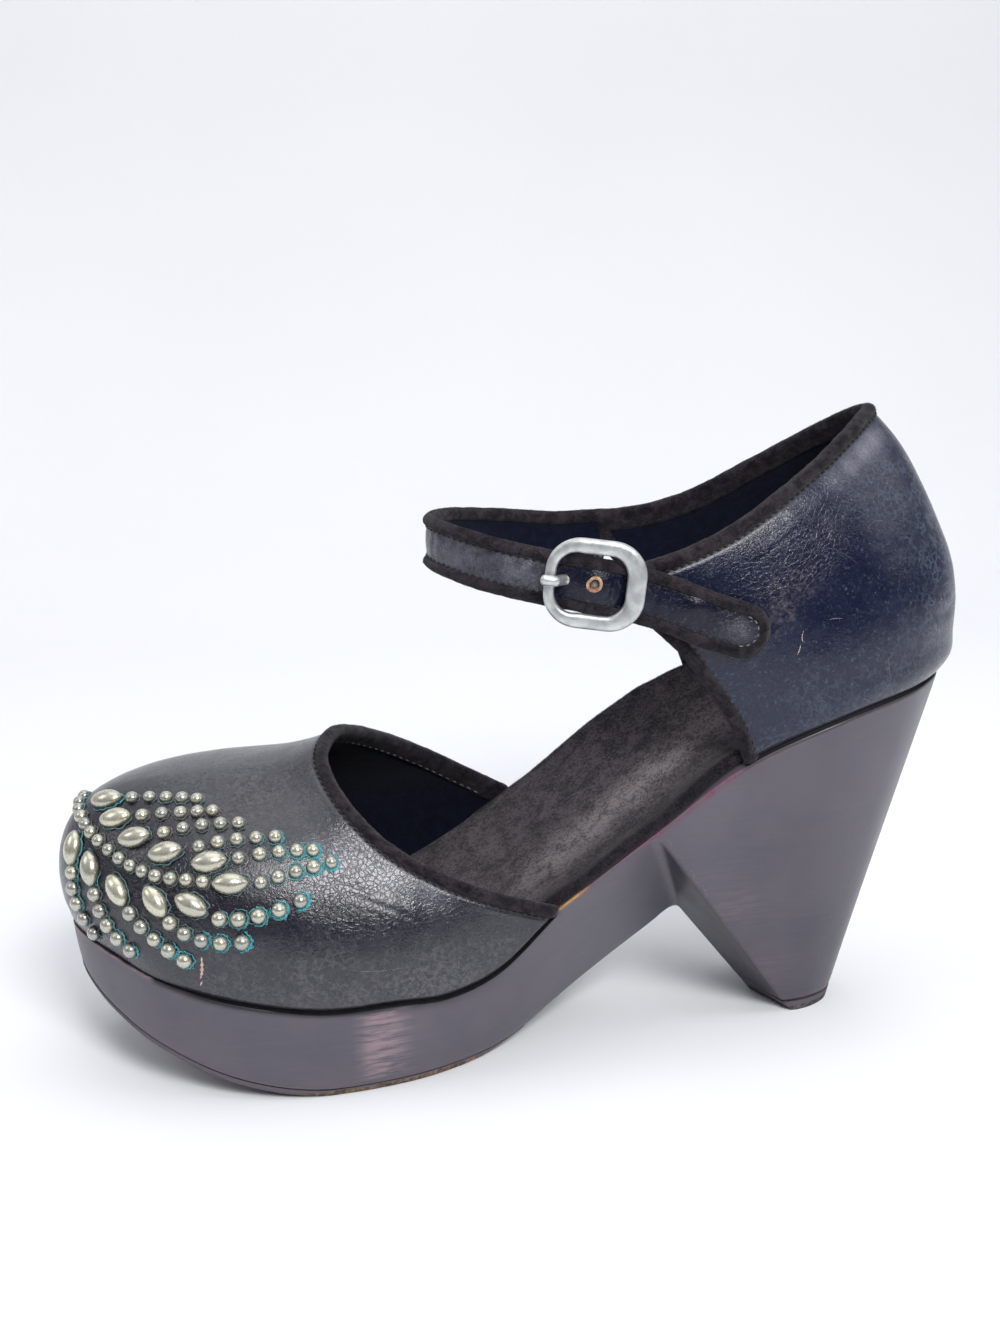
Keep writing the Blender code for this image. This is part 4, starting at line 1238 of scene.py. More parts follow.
def insole_section(row, across):
    """One row across the footbed: upper points, lower points, its polished band painted paler as a sheen, and
    darkness, painted shade under the vamp.
    """
    low = top_point(row, across, insole_inset(row), INSOLE_SEAT)
    gap = (1 - np.abs(across)) * np.linalg.norm(low[-1] - low[0]) / 2
    ends = min(1.0, (row - INSOLE_END) / INSOLE_TAPER, (HEEL_END - INSOLE_END - row) / INSOLE_TAPER)
    roll = dome_share(gap, INSOLE_ROLL) * (0.25 + 0.75 * ends)
    is_open = band(row, *INSOLE_OPEN)
    crown = (0.25 * is_open - 0.45 * smooth_step(10.5, 12, row)) * (1 - across ** 2)
    ripple = is_open * band(gap, (0.0, 1.5), (9.0, 2.0))
    pucker = swells(low, (0.55, 7.0, 4.0), (0.6, 17.0, 8.0))
    lift = np.minimum(0.25, ripple * pucker * 0.8) + 0.12 * lumps(low, 22.0, 2.0) * roll
    face = low.copy()
    face[:, 2] += INSOLE * roll + crown + lift

    stripe = np.exp(-((across - STRIPE_PLACE - STRIPE_SLANT * (row - STRIPE_ROW)) / STRIPE_WIDTH) ** 2)
    sheen = stripe * smooth_step(7.2, 8.3, row) * (1 - 0.6 * smooth_step(9.0, 9.9, row))
    sheen = sheen + 0.22 * np.exp(-((across - 0.1) / 0.5) ** 2) * smooth_step(9.0, 10.0, row)
    sheen = sheen + 0.22 * band(row, (5.2, 6.4), (8.2, 7.2))
    # polished band, painted paler as a sheen
    polish = np.clip(sheen + 0.3 * lumps(face, 5.0, 1.0) * (0.3 + sheen), 0, 0.9)
    rim = smooth_step(8.5, 2.0, gap + 2.0 * lumps(face, 5.0, 3.0)) * (across < 0)
    # darker along the outer rim of the open waist, and painted shade under the vamp toward the toe
    dark = np.clip(0.7 * is_open * rim + 0.5 * smooth_step(6.6, 5.2, row), 0, 0.85)
    return face, low, polish, dark


def insole_piece():
    """Padded footbed with a rolled edge, and loose nap along the open waist."""
    rows = np.linspace(INSOLE_END, HEEL_END - INSOLE_END, 300)
    sections = [insole_section(row, spread(101) * 2 - 1) for row in rows]
    top, under, polish, dark = (np.array(part) for part in zip(*sections))
    builder = Builder()
    closed_wall(builder, top, under, (0, 0), polish=polish, dark=dark)
    piece = builder.finish("insole_suede", [FOOTBED], "suede")
    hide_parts("insole")
    nap = Builder()
    open_rows = (rows > NAP_ROWS[0]) & (rows < NAP_ROWS[1])
    for side, rim in zip(SIDES, (slice(0, NAP_WIDE), slice(-NAP_WIDE, None))):
        roots = scattered(top[open_rows, rim], NAP_COUNT, 8 + side)
        lean = np.tile((0.0, side * 0.6, 0.8), (len(roots), 1))
        fuzz(nap, roots, lean, 0.5, 0.6, 18 + side, dark=0.4, polish=0.0)
    nap.finish("insole_nap", [FOOTBED], "suede")


# Upper

# Creases as three points (column, rise), width and depth.
VAMP_CREASES = (
    (-6.35, 0.10, -6.10, 0.45, -5.75, 0.86, 1.5, 0.18),
    (-6.05, 0.18, -5.80, 0.50, -5.45, 0.84, 1.2, 0.14),
    (-5.65, 0.30, -5.45, 0.55, -5.10, 0.82, 1.1, 0.13),
    (-6.75, 0.30, -6.50, 0.60, -6.20, 0.92, 1.3, 0.16),
    (-5.20, 0.45, -5.00, 0.62, -4.75, 0.84, 0.9, 0.11),
    (-4.85, 0.62, -4.62, 0.74, -4.35, 0.88, 0.8, 0.08),
    (-7.10, 0.25, -6.95, 0.55, -6.75, 0.90, 1.2, 0.13),
    (-5.90, 0.62, -5.50, 0.66, -5.10, 0.66, 0.9, 0.10),
    (-5.45, 0.70, -5.05, 0.72, -4.70, 0.70, 0.8, 0.08),
    (6.40, 0.12, 6.10, 0.50, 5.75, 0.88, 1.5, 0.18),
    (5.95, 0.22, 5.70, 0.55, 5.30, 0.85, 1.2, 0.16),
    (5.45, 0.35, 5.20, 0.60, 4.85, 0.84, 1.1, 0.13),
    (6.85, 0.25, 6.60, 0.55, 6.30, 0.90, 1.3, 0.14),
    (4.90, 0.50, 4.65, 0.66, 4.30, 0.84, 0.9, 0.10),
    (5.75, 0.60, 5.30, 0.68, 4.85, 0.68, 0.9, 0.10),
    (-3.20, 0.86, -1.00, 0.89, 1.60, 0.87, 1.1, 0.06),
    (-2.40, 0.80, 0.20, 0.82, 2.60, 0.80, 1.0, 0.05))
QUARTER_CREASES = (
    (-2.7, 0.88, -2.0, 0.89, -1.2, 0.90, 3.2, -0.25),
    (-3.2, 0.80, -2.8, 0.835, -2.35, 0.84, 0.7, 0.07),
    (-3.0, 0.70, -2.6, 0.755, -2.2, 0.75, 0.6, 0.05),
    (-2.75, 0.88, -2.3, 0.885, -1.9, 0.91, 0.6, 0.07),
    (-2.4, 0.70, -2.1, 0.75, -1.7, 0.74, 0.7, 0.05),
    (-1.9, 0.86, -1.55, 0.845, -1.2, 0.87, 0.6, 0.06),
    (-2.5, 0.80, -2.2, 0.835, -1.95, 0.815, 0.5, 0.05),
    (-3.6, 0.45, -3.3, 0.54, -2.8, 0.60, 1.3, 0.16),
    (-1.6, 0.30, -1.2, 0.26, -0.7, 0.27, 2.0, 0.14),
    (3.2, 0.80, 2.6, 0.84, 1.9, 0.86, 0.8, 0.10),
    (3.3, 0.68, 2.7, 0.74, 2.0, 0.77, 0.8, 0.10),
    (2.8, 0.88, 2.2, 0.90, 1.5, 0.91, 0.7, 0.08),
    (3.5, 0.42, 3.2, 0.52, 2.7, 0.58, 1.3, 0.16),
    (1.4, 0.32, 1.0, 0.27, 0.5, 0.28, 2.0, 0.14))

# Soft spots, each a column, a rise, a radius and a strength. Haze is settled dust, rub is bared leather, flex
# is grain broken into a net of cracks, veined is dye aged into paler lines, gleam is a painted highlight.
VAMP_SPOTS = {
    "haze": ((-4.7, 0.06, 6.0, 0.5), (-5.3, 0.07, 6.5, 0.55), (-5.9, 0.10, 7.0, 0.6), (-6.5, 0.16, 7.0, 0.5),
             (-7.1, 0.30, 5.0, 0.4), (-4.1, 0.05, 6.0, 0.35), (5.2, 0.08, 9.0, 0.5), (6.2, 0.15, 9.0, 0.5),
             (-0.5, 0.80, 22.0, 0.22), (2.0, 0.70, 22.0, 0.22), (-1.6, 0.72, 14.0, 0.25)),
    "flex": ((-5.3, 0.80, 12.0, 0.7), (-4.6, 0.76, 10.0, 0.6), (-6.3, 0.88, 9.0, 0.4), (-5.0, 0.65, 8.0, 0.4),
             (5.5, 0.80, 14.0, 0.9), (4.5, 0.80, 10.0, 0.7), (6.4, 0.85, 10.0, 0.8), (-1.5, 0.90, 9.0, 0.3),
             (-2.6, 0.45, 20.0, 0.4), (-3.0, 0.30, 12.0, 0.6), (-1.9, 0.34, 10.0, 0.4),
             (-1.0, 0.70, 20.0, 0.3)),
    "veined": ((-5.0, 0.20, 12.0, 0.4), (-6.2, 0.25, 10.0, 0.4), (-3.8, 0.12, 9.0, 0.3),
               (5.4, 0.25, 15.0, 0.5)),
    "gleam": ((-4.7, 0.80, 5.0, 0.3), (-5.3, 0.84, 5.0, 0.35), (-5.9, 0.88, 5.0, 0.3),
              (-4.2, 0.74, 5.0, 0.2))}
QUARTER_SPOTS = {
    "haze": ((-3.3, 0.03, 3.5, 0.4), (-3.7, 0.03, 3.5, 0.3), (-2.9, 0.03, 3.5, 0.4), (-2.5, 0.03, 3.5, 0.35),
             (-2.0, 0.03, 3.0, 0.2), (-1.5, 0.03, 3.0, 0.15), (-0.6, 0.60, 12.0, 0.1),
             (2.5, 0.08, 10.0, 0.5), (1.2, 0.30, 14.0, 0.3)),
    "rub": ((-3.1, 0.57, 3.5, 0.5), (-2.8, 0.66, 4.5, 0.35), (-3.05, 0.68, 4.0, 0.4), (-2.4, 0.76, 4.5, 0.25),
            (2.6, 0.60, 6.0, 0.35)),
    "flex": ((-3.1, 0.78, 8.0, 0.8), (-2.6, 0.84, 8.0, 0.8), (-2.0, 0.86, 8.0, 0.7), (-1.4, 0.88, 7.0, 0.5),
             (-2.5, 0.70, 9.0, 0.5), (2.6, 0.85, 9.0, 0.6), (1.6, 0.88, 8.0, 0.5)),
    "veined": ((-0.5, 0.50, 17.0, 0.6), (-1.1, 0.25, 14.0, 0.5), (-0.3, 0.75, 13.0, 0.4),
               (-2.4, 0.12, 10.0, 0.3), (-3.2, 0.15, 9.0, 0.3), (-1.6, 0.80, 9.0, 0.25),
               (1.0, 0.45, 18.0, 0.5), (2.4, 0.20, 14.0, 0.4)),
    "gleam": ((-2.0, 0.905, 3.0, 0.3), (-1.7, 0.91, 3.0, 0.5), (-1.4, 0.91, 3.0, 0.6),
              (-1.1, 0.91, 3.0, 0.55), (-0.8, 0.91, 2.6, 0.35))}

# Scratches as three points (column, rise), width, and 0 for grey or 1 for tan.
VAMP_MARKS = (
    (((-3.65, 0.175), (-3.65, 0.125), (-3.62, 0.082)), 1.7, 1),
    (((-3.64, 0.072), (-3.62, 0.060), (-3.61, 0.050)), 0.9, 1),
    (((-5.9, 0.30), (-5.5, 0.26), (-5.2, 0.27)), 0.18, 0),
    (((4.1, 0.20), (4.3, 0.16), (4.4, 0.11)), 0.4, 0))
QUARTER_MARKS = (
    (((-3.02, 0.470), (-3.06, 0.445), (-3.07, 0.425)), 0.45, 1),
    (((-3.10, 0.420), (-3.13, 0.400), (-3.17, 0.382)), 0.5, 1),
    (((-2.77, 0.459), (-2.71, 0.452), (-2.64, 0.437)), 0.4, 0),
    (((-2.30, 0.205), (-2.33, 0.150), (-2.35, 0.089)), 0.22, 0),
    (((-1.98, 0.683), (-1.76, 0.690), (-1.55, 0.618)), 0.10, 0),
    (((-2.60, 0.740), (-2.40, 0.690), (-2.25, 0.600)), 0.09, 0),
    (((-2.90, 0.600), (-2.70, 0.640), (-2.45, 0.650)), 0.10, 0),
    (((-0.50, 0.863), (-0.49, 0.861), (-0.48, 0.858)), 0.5, 0),
    (((-1.38, 0.775), (-1.37, 0.772), (-1.36, 0.768)), 0.6, 0),
    (((-1.24, 0.322), (-1.23, 0.317), (-1.22, 0.311)), 0.7, 0))

UPPER_SWELLS = ((0.16, 15.0, 3.0), (0.05, 5.0, 6.0))   # height, size and seed of the leather's lumps
FLEX_SWELL = 0.025         # height of the small lumps where it is cracked
EDGE_SUNK = 0.35           # the leather sinks this far under its binding
CUT_GROWTH = 1.2           # columns over which a cut foot begins
FOOT_TUCK = 0.1            # the foot turns in this far, and this much more where it is cut
CUT_TUCK = 0.6
TUCK_RISE = 2.4            # height over which it turns in


def tucked(grid, normal, down, length, depth):
    """Foot of a wall turned in toward the sole."""
    low = smooth_step(TUCK_RISE, 0.0, length[:, None] - down)
    return grid - normal * (depth * low ** 2)[..., None]


class Face:
    """Finished outer face of a wall, read at a column and a share of the rise from foot to edge."""

    def __init__(self, wall, grid):
        self.wall = wall
        self.grid = grid
        self.normal = wall.normals(grid)

    def at(self, c, t):
        columns, rows = self.grid.shape[:2]
        i = np.interp(c, self.wall.columns, np.arange(columns))
        length = np.interp(i, np.arange(columns), self.wall.lengths)
        j = np.clip(((1 - t) * length - self.wall.top) / (length - self.wall.top), 0, 1) * (rows - 1)
        return bilinear(self.grid, i, j), unit(bilinear(self.normal, i, j))


def creased(wall, grid, creases):
    """Heights of listed creases on a grid of a wall."""
    height = np.zeros(grid.shape[:2])
    for c0, t0, c1, t1, c2, t2, width, depth in creases:
        line = bend_line(*(wall.point(c, t) for c, t in ((c0, t0), (c1, t1), (c2, t2))))
        height += trough(grid, line, width, depth)
    return height


def spots_on(wall, grid, table):
    """Sum of soft spots, each given as column, rise, radius and strength."""
    total = np.zeros(grid.shape[:2])
    for c, t, radius, strength in table:
        total += strength * spot(grid, wall.point(c, t), radius)
    return np.clip(total, 0, 1)


def upper_piece(name, node, wall, creases, look, spots, cut_from, count):
    """Leather wall with its lining, creased, its top hidden under the binding.

    From one column outward the foot is painted dark as shade in its crevice, and a thin line of painted shade
    runs under the binding.
    """
    outer, down = wall.sheet(wall.top, count)
    normal = wall.normals(outer)
    relief = creased(wall, outer, creases)
    masks = {key: spots_on(wall, outer, table) for key, table in spots.items()}
    broad = swells(outer, *UPPER_SWELLS) + FLEX_SWELL * masks["flex"] * lumps(outer, 2.2, 4.0)
    below = down - wall.binding
    at_seam = smooth_step(-0.8, 1.6, below)
    sunk = -EDGE_SUNK * smooth_step(1.3, -0.3, below)
    grid = outer + normal * ((relief + broad) * at_seam + sunk)[..., None]
    cut = smooth_step(cut_from, cut_from + CUT_GROWTH, np.abs(wall.columns))[:, None]
    grid = tucked(grid, normal, down, wall.lengths, FOOT_TUCK + CUT_TUCK * cut)
    inner = outer - normal * WALL
    inner[:, -1, 2] = outer[:, -1, 2]
    builder = Builder()
    foot = wall.lengths[:, None] - down
    # painted shade: dark at the foot past the cut column and in a thin line under the binding
    dyed = np.clip(0.9 * cut * smooth_step(1.2, 0.3, foot) + 0.9 * smooth_step(0.9, 0.3, below), 0, 1)
    closed_wall(builder, grid, inner, (0, 1), dyed=dyed, **masks)
    piece = builder.finish(name, [look, LINING], "upper_leather")
    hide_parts(node)
    return Face(wall, grid)


def mark(builder, face, line, wide, kind, count=22):
    """Thin scratch lying on a face along three points (column, rise), pointed at both ends."""
    path, out = face.at(*bend_line(*np.array(line), count).T)
    f = np.linspace(0, 1, count)[:, None]
    side = np.cross(unit(np.gradient(path, axis=0)), out)
    ragged = wide / 2 * np.sqrt(np.sin(math.pi * f)) * (0.7 + 0.3 * np.sin(29 * f + wide * 40))
    low = path - out * 0.05
    builder.tube(np.stack((low + side * ragged, path + out * 0.06, low - side * ragged), axis=1), kind)


def top_binding(name, wall, seed, rounded=0.0):
    """Suede strip folded over a wall's bound edge."""
    stops = np.linspace(0, BINDING_INSIDE, 12)
    face = wall.normals(wall.at(stops))

    def place(down):
        return wall.at(np.array([down]))[:, 0]

    def out(down):
        k = np.interp(down, stops, np.arange(len(stops)))
        low = int(min(k, len(stops) - 2))
        return unit(face[:, low] * (1 - k + low) + face[:, low + 1] * (k - low))

    section = binding_section(wall.binding, BINDING_INSIDE, WALL, BINDING_PROUD)
    fold_strip(name, place, out, section, seed, BINDING_HAIRS, rounded)


def seam_threads(builder, wall, down, inside, stitch, trim):
    """Stitches along a wall at one distance under its edge, on the outer face or on the lining.

    A share of the row is trimmed at either end.
    """
    near = wall.at(np.array([down - 0.4, down, down + 0.4]))
    face = wall.normals(near)[:, 1]
    path = near[:, 1]
    if inside:
        path = path - face * (WALL + 0.42 * BINDING_PROUD)
        face = -face
    cut = int(trim * len(path))
    kept = slice(cut, len(path) - cut)
    stitch_row(builder, path[kept], face[kept], stitch)


def front_binding(name, wall, columns, seed):
    """Suede strip folded over a front edge of the quarter, given by that column and one behind it.

    Returns the edge, the direction into the wall and the one out of its face.
    """
    edge, back = (wall.rise(column, np.linspace(0.0, 1.0, 90)) for column in columns)
    up = unit(np.gradient(edge, axis=0))
    into = unit(back - edge)
    into = unit(into - up * np.sum(into * up, axis=1, keepdims=True))
    face = unit(np.cross(into, up))
    middle = len(edge) // 2
    if np.dot(face[middle], edge[middle] - wall.inside) < 0:
        face = -face
    section = binding_section(FRONT_BINDING, FRONT_BINDING + 0.6, WALL, 0.55)
    fold_strip(name, lambda down: edge + into * down, lambda down: face, section, seed, BINDING_HAIRS // 4)
    return edge, into, face


def vamp_shade_strip():
    """Dark strip standing in for the shade of the crevice under the vamp's foot, shaped as its turned-in
    margin, growing toward the lap on either side.
    """
    builder = Builder()
    for side in SIDES:
        rings = []
        for row in np.linspace(MARGIN_START, VAMP_END, 200):
            out = edge_outward(row, side)
            foot = edge_point(row, side) + out * VAMP.at("lap", row) - UP * VAMP.at("drop", row)
            tall = MARGIN_LOW + (MARGIN_TALL - MARGIN_LOW) * band(row, (MARGIN_START, 5.2), (8.5, 7.5))
            rings.append(foot - out * 0.75 - UP * 0.5 * tall + ring(out * 0.6, UP * tall, 12))
        builder.tube(blur(np.array(rings), 2))
    builder.finish("vamp_shade_strip", [SHADE_STRIP], "upper_leather")


# Strap and buckle

def strap_frames(rows, step=0.02):
    """Centre line of the strap at these rows, with its directions out, up and along."""
    ahead = STRAP.point(np.minimum(rows + step, STRAP_END))
    behind = STRAP.point(np.maximum(rows - step, STRAP_START))
    along = unit(ahead - behind)
    up = unit(UP - along * along[:, 2:3])
    return STRAP.point(rows), np.cross(along, up), up, along


def strap_sheet(height, count=430, across=35):
    """Grid of the strap at this height over its centre line, with a rounded tip."""
    half = STRAP_WIDTH / 2
    rows = np.linspace(STRAP_START, STRAP_END, count)
    share = np.linspace(-1, 1, across)
    centre, out, up, along = strap_frames(rows)
    body = centre[:, None] + up[:, None] * (half * share)[None, :, None] + out[:, None] * height
    angle = np.linspace(0, math.pi / 2, 22)[1:-1]
    tip = (centre[-1] + out[-1] * height + along[-1] * (half * np.sin(angle))[:, None, None]
           + up[-1] * (half * np.cos(angle)[:, None] * share[None])[..., None])
    return np.concatenate((body, tip))


def strap_outline():
    """Edge of the strap along its top, round the tip and back along its bottom: points, inward, outward."""
    half = STRAP_WIDTH / 2
    centre, out, up, along = strap_frames(np.linspace(STRAP_START, STRAP_END, STRAP_STEPS))
    angle = np.linspace(math.pi / 2, -math.pi / 2, TIP_STEPS + 2)[1:-1, None]
    round_in = -(up[-1] * np.sin(angle) + along[-1] * np.cos(angle))
    inward = np.concatenate((-up, round_in, up[::-1]))
    edge = np.concatenate((centre + up * half, centre[-1] - round_in * half, (centre - up * half)[::-1]))
    face = np.concatenate((out, np.tile(out[-1], (TIP_STEPS, 1)), out[::-1]))
    return edge, inward, face


def strap_relief(face):
    """Heights of the strap's soft body: raised over the bar and at a bulge, pressed by the prong, folded."""
    across = np.linspace(-1, 1, face.shape[1])[None, :]
    body = STRAP_CROWN * (1 - (across / STRAP_CROWN_HALF) ** 2) + swells(face, *STRAP_SWELLS)
    row, off, radius, height = STRAP_BULGE
    body = body + height * spot(face, STRAP.point(row) + off, radius)
    over_bar = 0.9 * spot(face, buckle_at(-1.5, 0.3, 0.6), 5.5)
    pressed = 0.5 * spot(face, buckle_at(-9.0, 0.0, 0.4), 2.2)
    body = body + (over_bar - pressed) * (1 - across ** 4)
    for row, depth in STRAP_FOLDS:
        centre, _, up, along = (part[0] for part in strap_frames(np.array([row])))
        fold = bend_line(centre - up * FOLD_HALF, centre + along * 0.5, centre + up * FOLD_HALF)
        body = body + trough(face, fold, FOLD_WIDTH, depth)
    return body


def strap_piece():
    """Strap leather with its spare hole, cracked where it bends, with painted highlights and a front painted
    paler as a sheen.
    """
    face, back = strap_sheet(STRAP_FACE), strap_sheet(-STRAP_BACK)
    out = unit(face - back)
    face = face + out * strap_relief(face)[..., None]
    masks = {key: sum(strength * spot(face, STRAP.point(row) + UP * rise, radius)
                      for row, rise, radius, strength in table) for key, table in STRAP_SPOTS.items()}
    # painted highlights along the strap's front and at its listed spots
    front_highlight = 0.4 * smooth_step(-2.0, -14.0, face[..., 0]) * (face[..., 1] < 5.0)
    masks["gleam"] = (front_highlight + masks["gleam"]) * (0.8 + 0.6 * lumps(face, 2.4, 9.0))
    masks["flex"] = 0.4 + masks["flex"]
    # the strap's front end painted paler through the haze mask: a painted sheen
    masks["haze"] = 0.15 * smooth_step(12.0, 4.0, face[..., 0])
    builder = Builder()
    closed_wall(builder, face, back, (0, 1), **masks)
    flat = face.reshape(-1, 3)
    nearest = np.linalg.norm(flat - buckle_at(0.0, 0.3, 0.0), axis=1).argmin()
    pierce(builder, flat[nearest], out.reshape(-1, 3)[nearest])
    piece = builder.finish("ankle_strap_leather", [STRAP_LEATHER, LINING, RAW_EDGE], "upper_leather")
    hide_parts("ankle_strap")


def strap_binding():
    """Suede strip folded round the strap's edge; returns that edge, the way inward and the way out."""
    edge, inward, out = strap_outline()
    edge = edge + out * STRAP_FACE
    section = binding_section(STRAP_EDGE, STRAP_EDGE + 0.4, STRAP_BACK + STRAP_FACE, 0.95)
    fold_strip("strap_binding", lambda down: edge + inward * down, lambda down: out, section, 6,
               BINDING_HAIRS, reach=SEAM_REACH)
    return edge, inward, out


def pierce(builder, centre, axis):
    """Round hole through a sheet: faces inside it go, its rim is drawn to the circle, its wall added."""
    points = np.concatenate(builder.points)
    gap = points - centre
    along = gap @ axis
    flat = gap - along[:, None] * axis
    reach = np.linalg.norm(flat, axis=1)
    inside = (reach < HOLE) & (np.abs(along) < 4.0)
    lost = [inside[list(face)].any() for face in builder.faces]
    cut = {i for face, gone in zip(builder.faces, lost) if gone for i in face}
    for i in cut - set(np.flatnonzero(inside)):
        points[i] = centre + along[i] * axis + flat[i] / reach[i] * HOLE * 1.02
    builder.faces = [face for face, gone in zip(builder.faces, lost) if not gone]
    builder.kinds = [kind for kind, gone in zip(builder.kinds, lost) if not gone]
    builder.points = [points]
    turns = np.linspace(0, 2 * math.pi, 28, endpoint=False)
    uneven = 1 + 0.07 * np.sin(turns + 2.0) + 0.05 * np.sin(2 * turns) + 0.03 * np.sin(3 * turns + 1.0)
    first = unit(np.cross(axis, UP))
    circle = HOLE * uneven[:, None] * ring(first, np.cross(axis, first), len(turns))
    rings = [centre + axis * height + share * circle for share, height in HOLE_RIM]
    builder.grid(np.array(rings), 2, close=True)


def buckle_axes():
    """Directions of the buckle: along the strap, up and outward."""
    yaw = math.radians(BUCKLE_YAW)
    dip = math.radians(BUCKLE_DIP)
    level = np.array((math.cos(yaw), -math.sin(yaw), 0.0))
    along = level * math.cos(dip) - UP * math.sin(dip)
    up = unit(UP - along * along[2])
    return along, up, np.cross(along, up)


def buckle_at(run, rise, out):
    """Points at these distances from the buckle's centre along its directions."""
    along, up, outward = buckle_axes()
    run, rise, out = (np.asarray(value, float)[..., None] for value in (run, rise, out))
    return BUCKLE_CENTRE + along * run + up * rise + outward * out


def buckle_piece():
    """Cast frame: rounded-rectangle ring, thin at the front bar and broad at the back one, with its bar."""
    along, _, outward = buckle_axes()
    turns = np.linspace(0, 2 * math.pi, 28, endpoint=False)
    wide = np.sign(np.cos(turns)) * np.abs(np.cos(turns)) ** 0.75
    thick = BUCKLE_THICK / 2 * np.sign(np.sin(turns)) * np.abs(np.sin(turns)) ** 0.8
    rings = []
    for quadrant, (sx, sz) in enumerate(((1, 1), (-1, 1), (-1, -1), (1, -1))):
        cx = sx * (BUCKLE_LENGTH / 2 - BUCKLE_CORNER)
        cz = sz * (BUCKLE_HEIGHT / 2 - BUCKLE_CORNER)
        for share in np.linspace(0, 1, 16):
            angle = math.radians(90 * (quadrant + share))
            bar = (BUCKLE_BAR + BUCKLE_SWELL * math.cos(angle)) / 2
            reach = BUCKLE_CORNER - bar + bar * wide
            rings.append(buckle_at(cx + reach * math.cos(angle), cz + reach * math.sin(angle), thick))
    builder = Builder()
    builder.grid(np.array(rings + rings[:1]), close=True)
    half = BUCKLE_HEIGHT / 2 - BUCKLE_BAR / 2
    bar = buckle_at(0.0, np.linspace(-half, half, 9), -CENTRE_BAR_SET)
    builder.tube(bar[:, None] + CENTRE_BAR * ring(along, outward, 18))
    piece = builder.finish("buckle_frame_cast", [PEWTER], "pewter")
    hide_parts("buckle_frame")


def prong_piece():
    """Prong bent up through the strap and lying on the front bar, its end rounded, with its collar."""
    along, up, outward = buckle_axes()
    rows = np.linspace(0, PRONG.rows[-1, 0], 60)
    path = buckle_at(PRONG.at("run", rows), PRONG_RISE, PRONG.at("out", rows))
    heading = unit(np.gradient(path, axis=0))
    run = path_run(path)
    girth = PRONG_RADIUS * np.maximum(dome_share(run[-1] - run, PRONG_TIP), 0.05)
    builder = Builder()
    builder.tube(path[:, None] + girth[:, None, None] * ring(1.12 * up, 0.9 * np.cross(heading, up), 18))
    radial = ring(along, outward, 24)
    middle = buckle_at(0.0, 0.0, -CENTRE_BAR_SET) + COLLAR * radial
    collar = middle[:, None] + ring(COLLAR_HALF[0] * radial, COLLAR_HALF[1] * up, 10)
    builder.grid(np.concatenate((collar, collar[:1])), close=True)
    piece = builder.finish("buckle_prong_cast", [PEWTER], "pewter")
    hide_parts("buckle_prong")


# Beads

def dome(builder, point, axes, sizes, tone, outline):
    """One bead: a dome over an outline, closed underneath."""
    first, second, up = axes
    length, width, height = sizes
    x, y = outline(np.linspace(0, 2 * math.pi, 22, endpoint=False))
    level = first * (length * x)[:, None] + second * (width * y)[:, None]
    lat = np.linspace(-DOME_LOW, math.pi / 2 * DOME_TOP, 11)[:, None]
    rise = np.sin(lat)
    rings = point + np.cos(lat)[..., None] * level + up * height * (rise + DOME_LIFT)[..., None]
    builder.tube(rings, height=(rise + DOME_LOW) / (1 + DOME_LOW), tone=tone)


def round_outline(turns):
    return np.cos(turns), np.sin(turns)


def navette_outline(turns):
    """Almond with softly pointed ends."""
    x = np.cos(turns)
    return x, np.sign(np.sin(turns)) * (1 - x * x) ** 0.62


def thread_loop(builder, point, axes, radius, thick, teal, seed, stretch=1.0):
    """Uneven loop of sewing thread lying part of the way round a bead, mostly behind and below it."""
    first, second, up = axes
    random = np.random.default_rng(seed)
    heading = math.atan2(np.dot(THREAD_SIDE, second), np.dot(THREAD_SIDE, first))
    reach = 2 * math.pi * (0.5 + 0.4 * random.random())
    share = np.linspace(-0.5, 0.5, 36)
    turns = heading + 0.8 * random.normal() + reach * share
    wave = 1 + sum(a * np.sin(k * turns + 6.3 * random.random())
                   for k, a in ((3, 0.05), (7, 0.05), (11, 0.02 + 0.06 * teal), (17, 0.05 * teal)))
    lift = 0.12 + 0.14 * np.sin(6 * turns + 6 * random.random())
    centre = (point + first * (radius * stretch * wave * np.cos(turns))[:, None]
              + second * (radius * wave * np.sin(turns))[:, None] + up * lift[:, None])
    side = unit(centre - point)
    girth = thick * np.sqrt(np.clip(1.02 - (2 * share) ** 2, 0, 1))
    builder.tube(centre[:, None] + girth[:, None, None] * ring(side, up, 5), teal=teal)


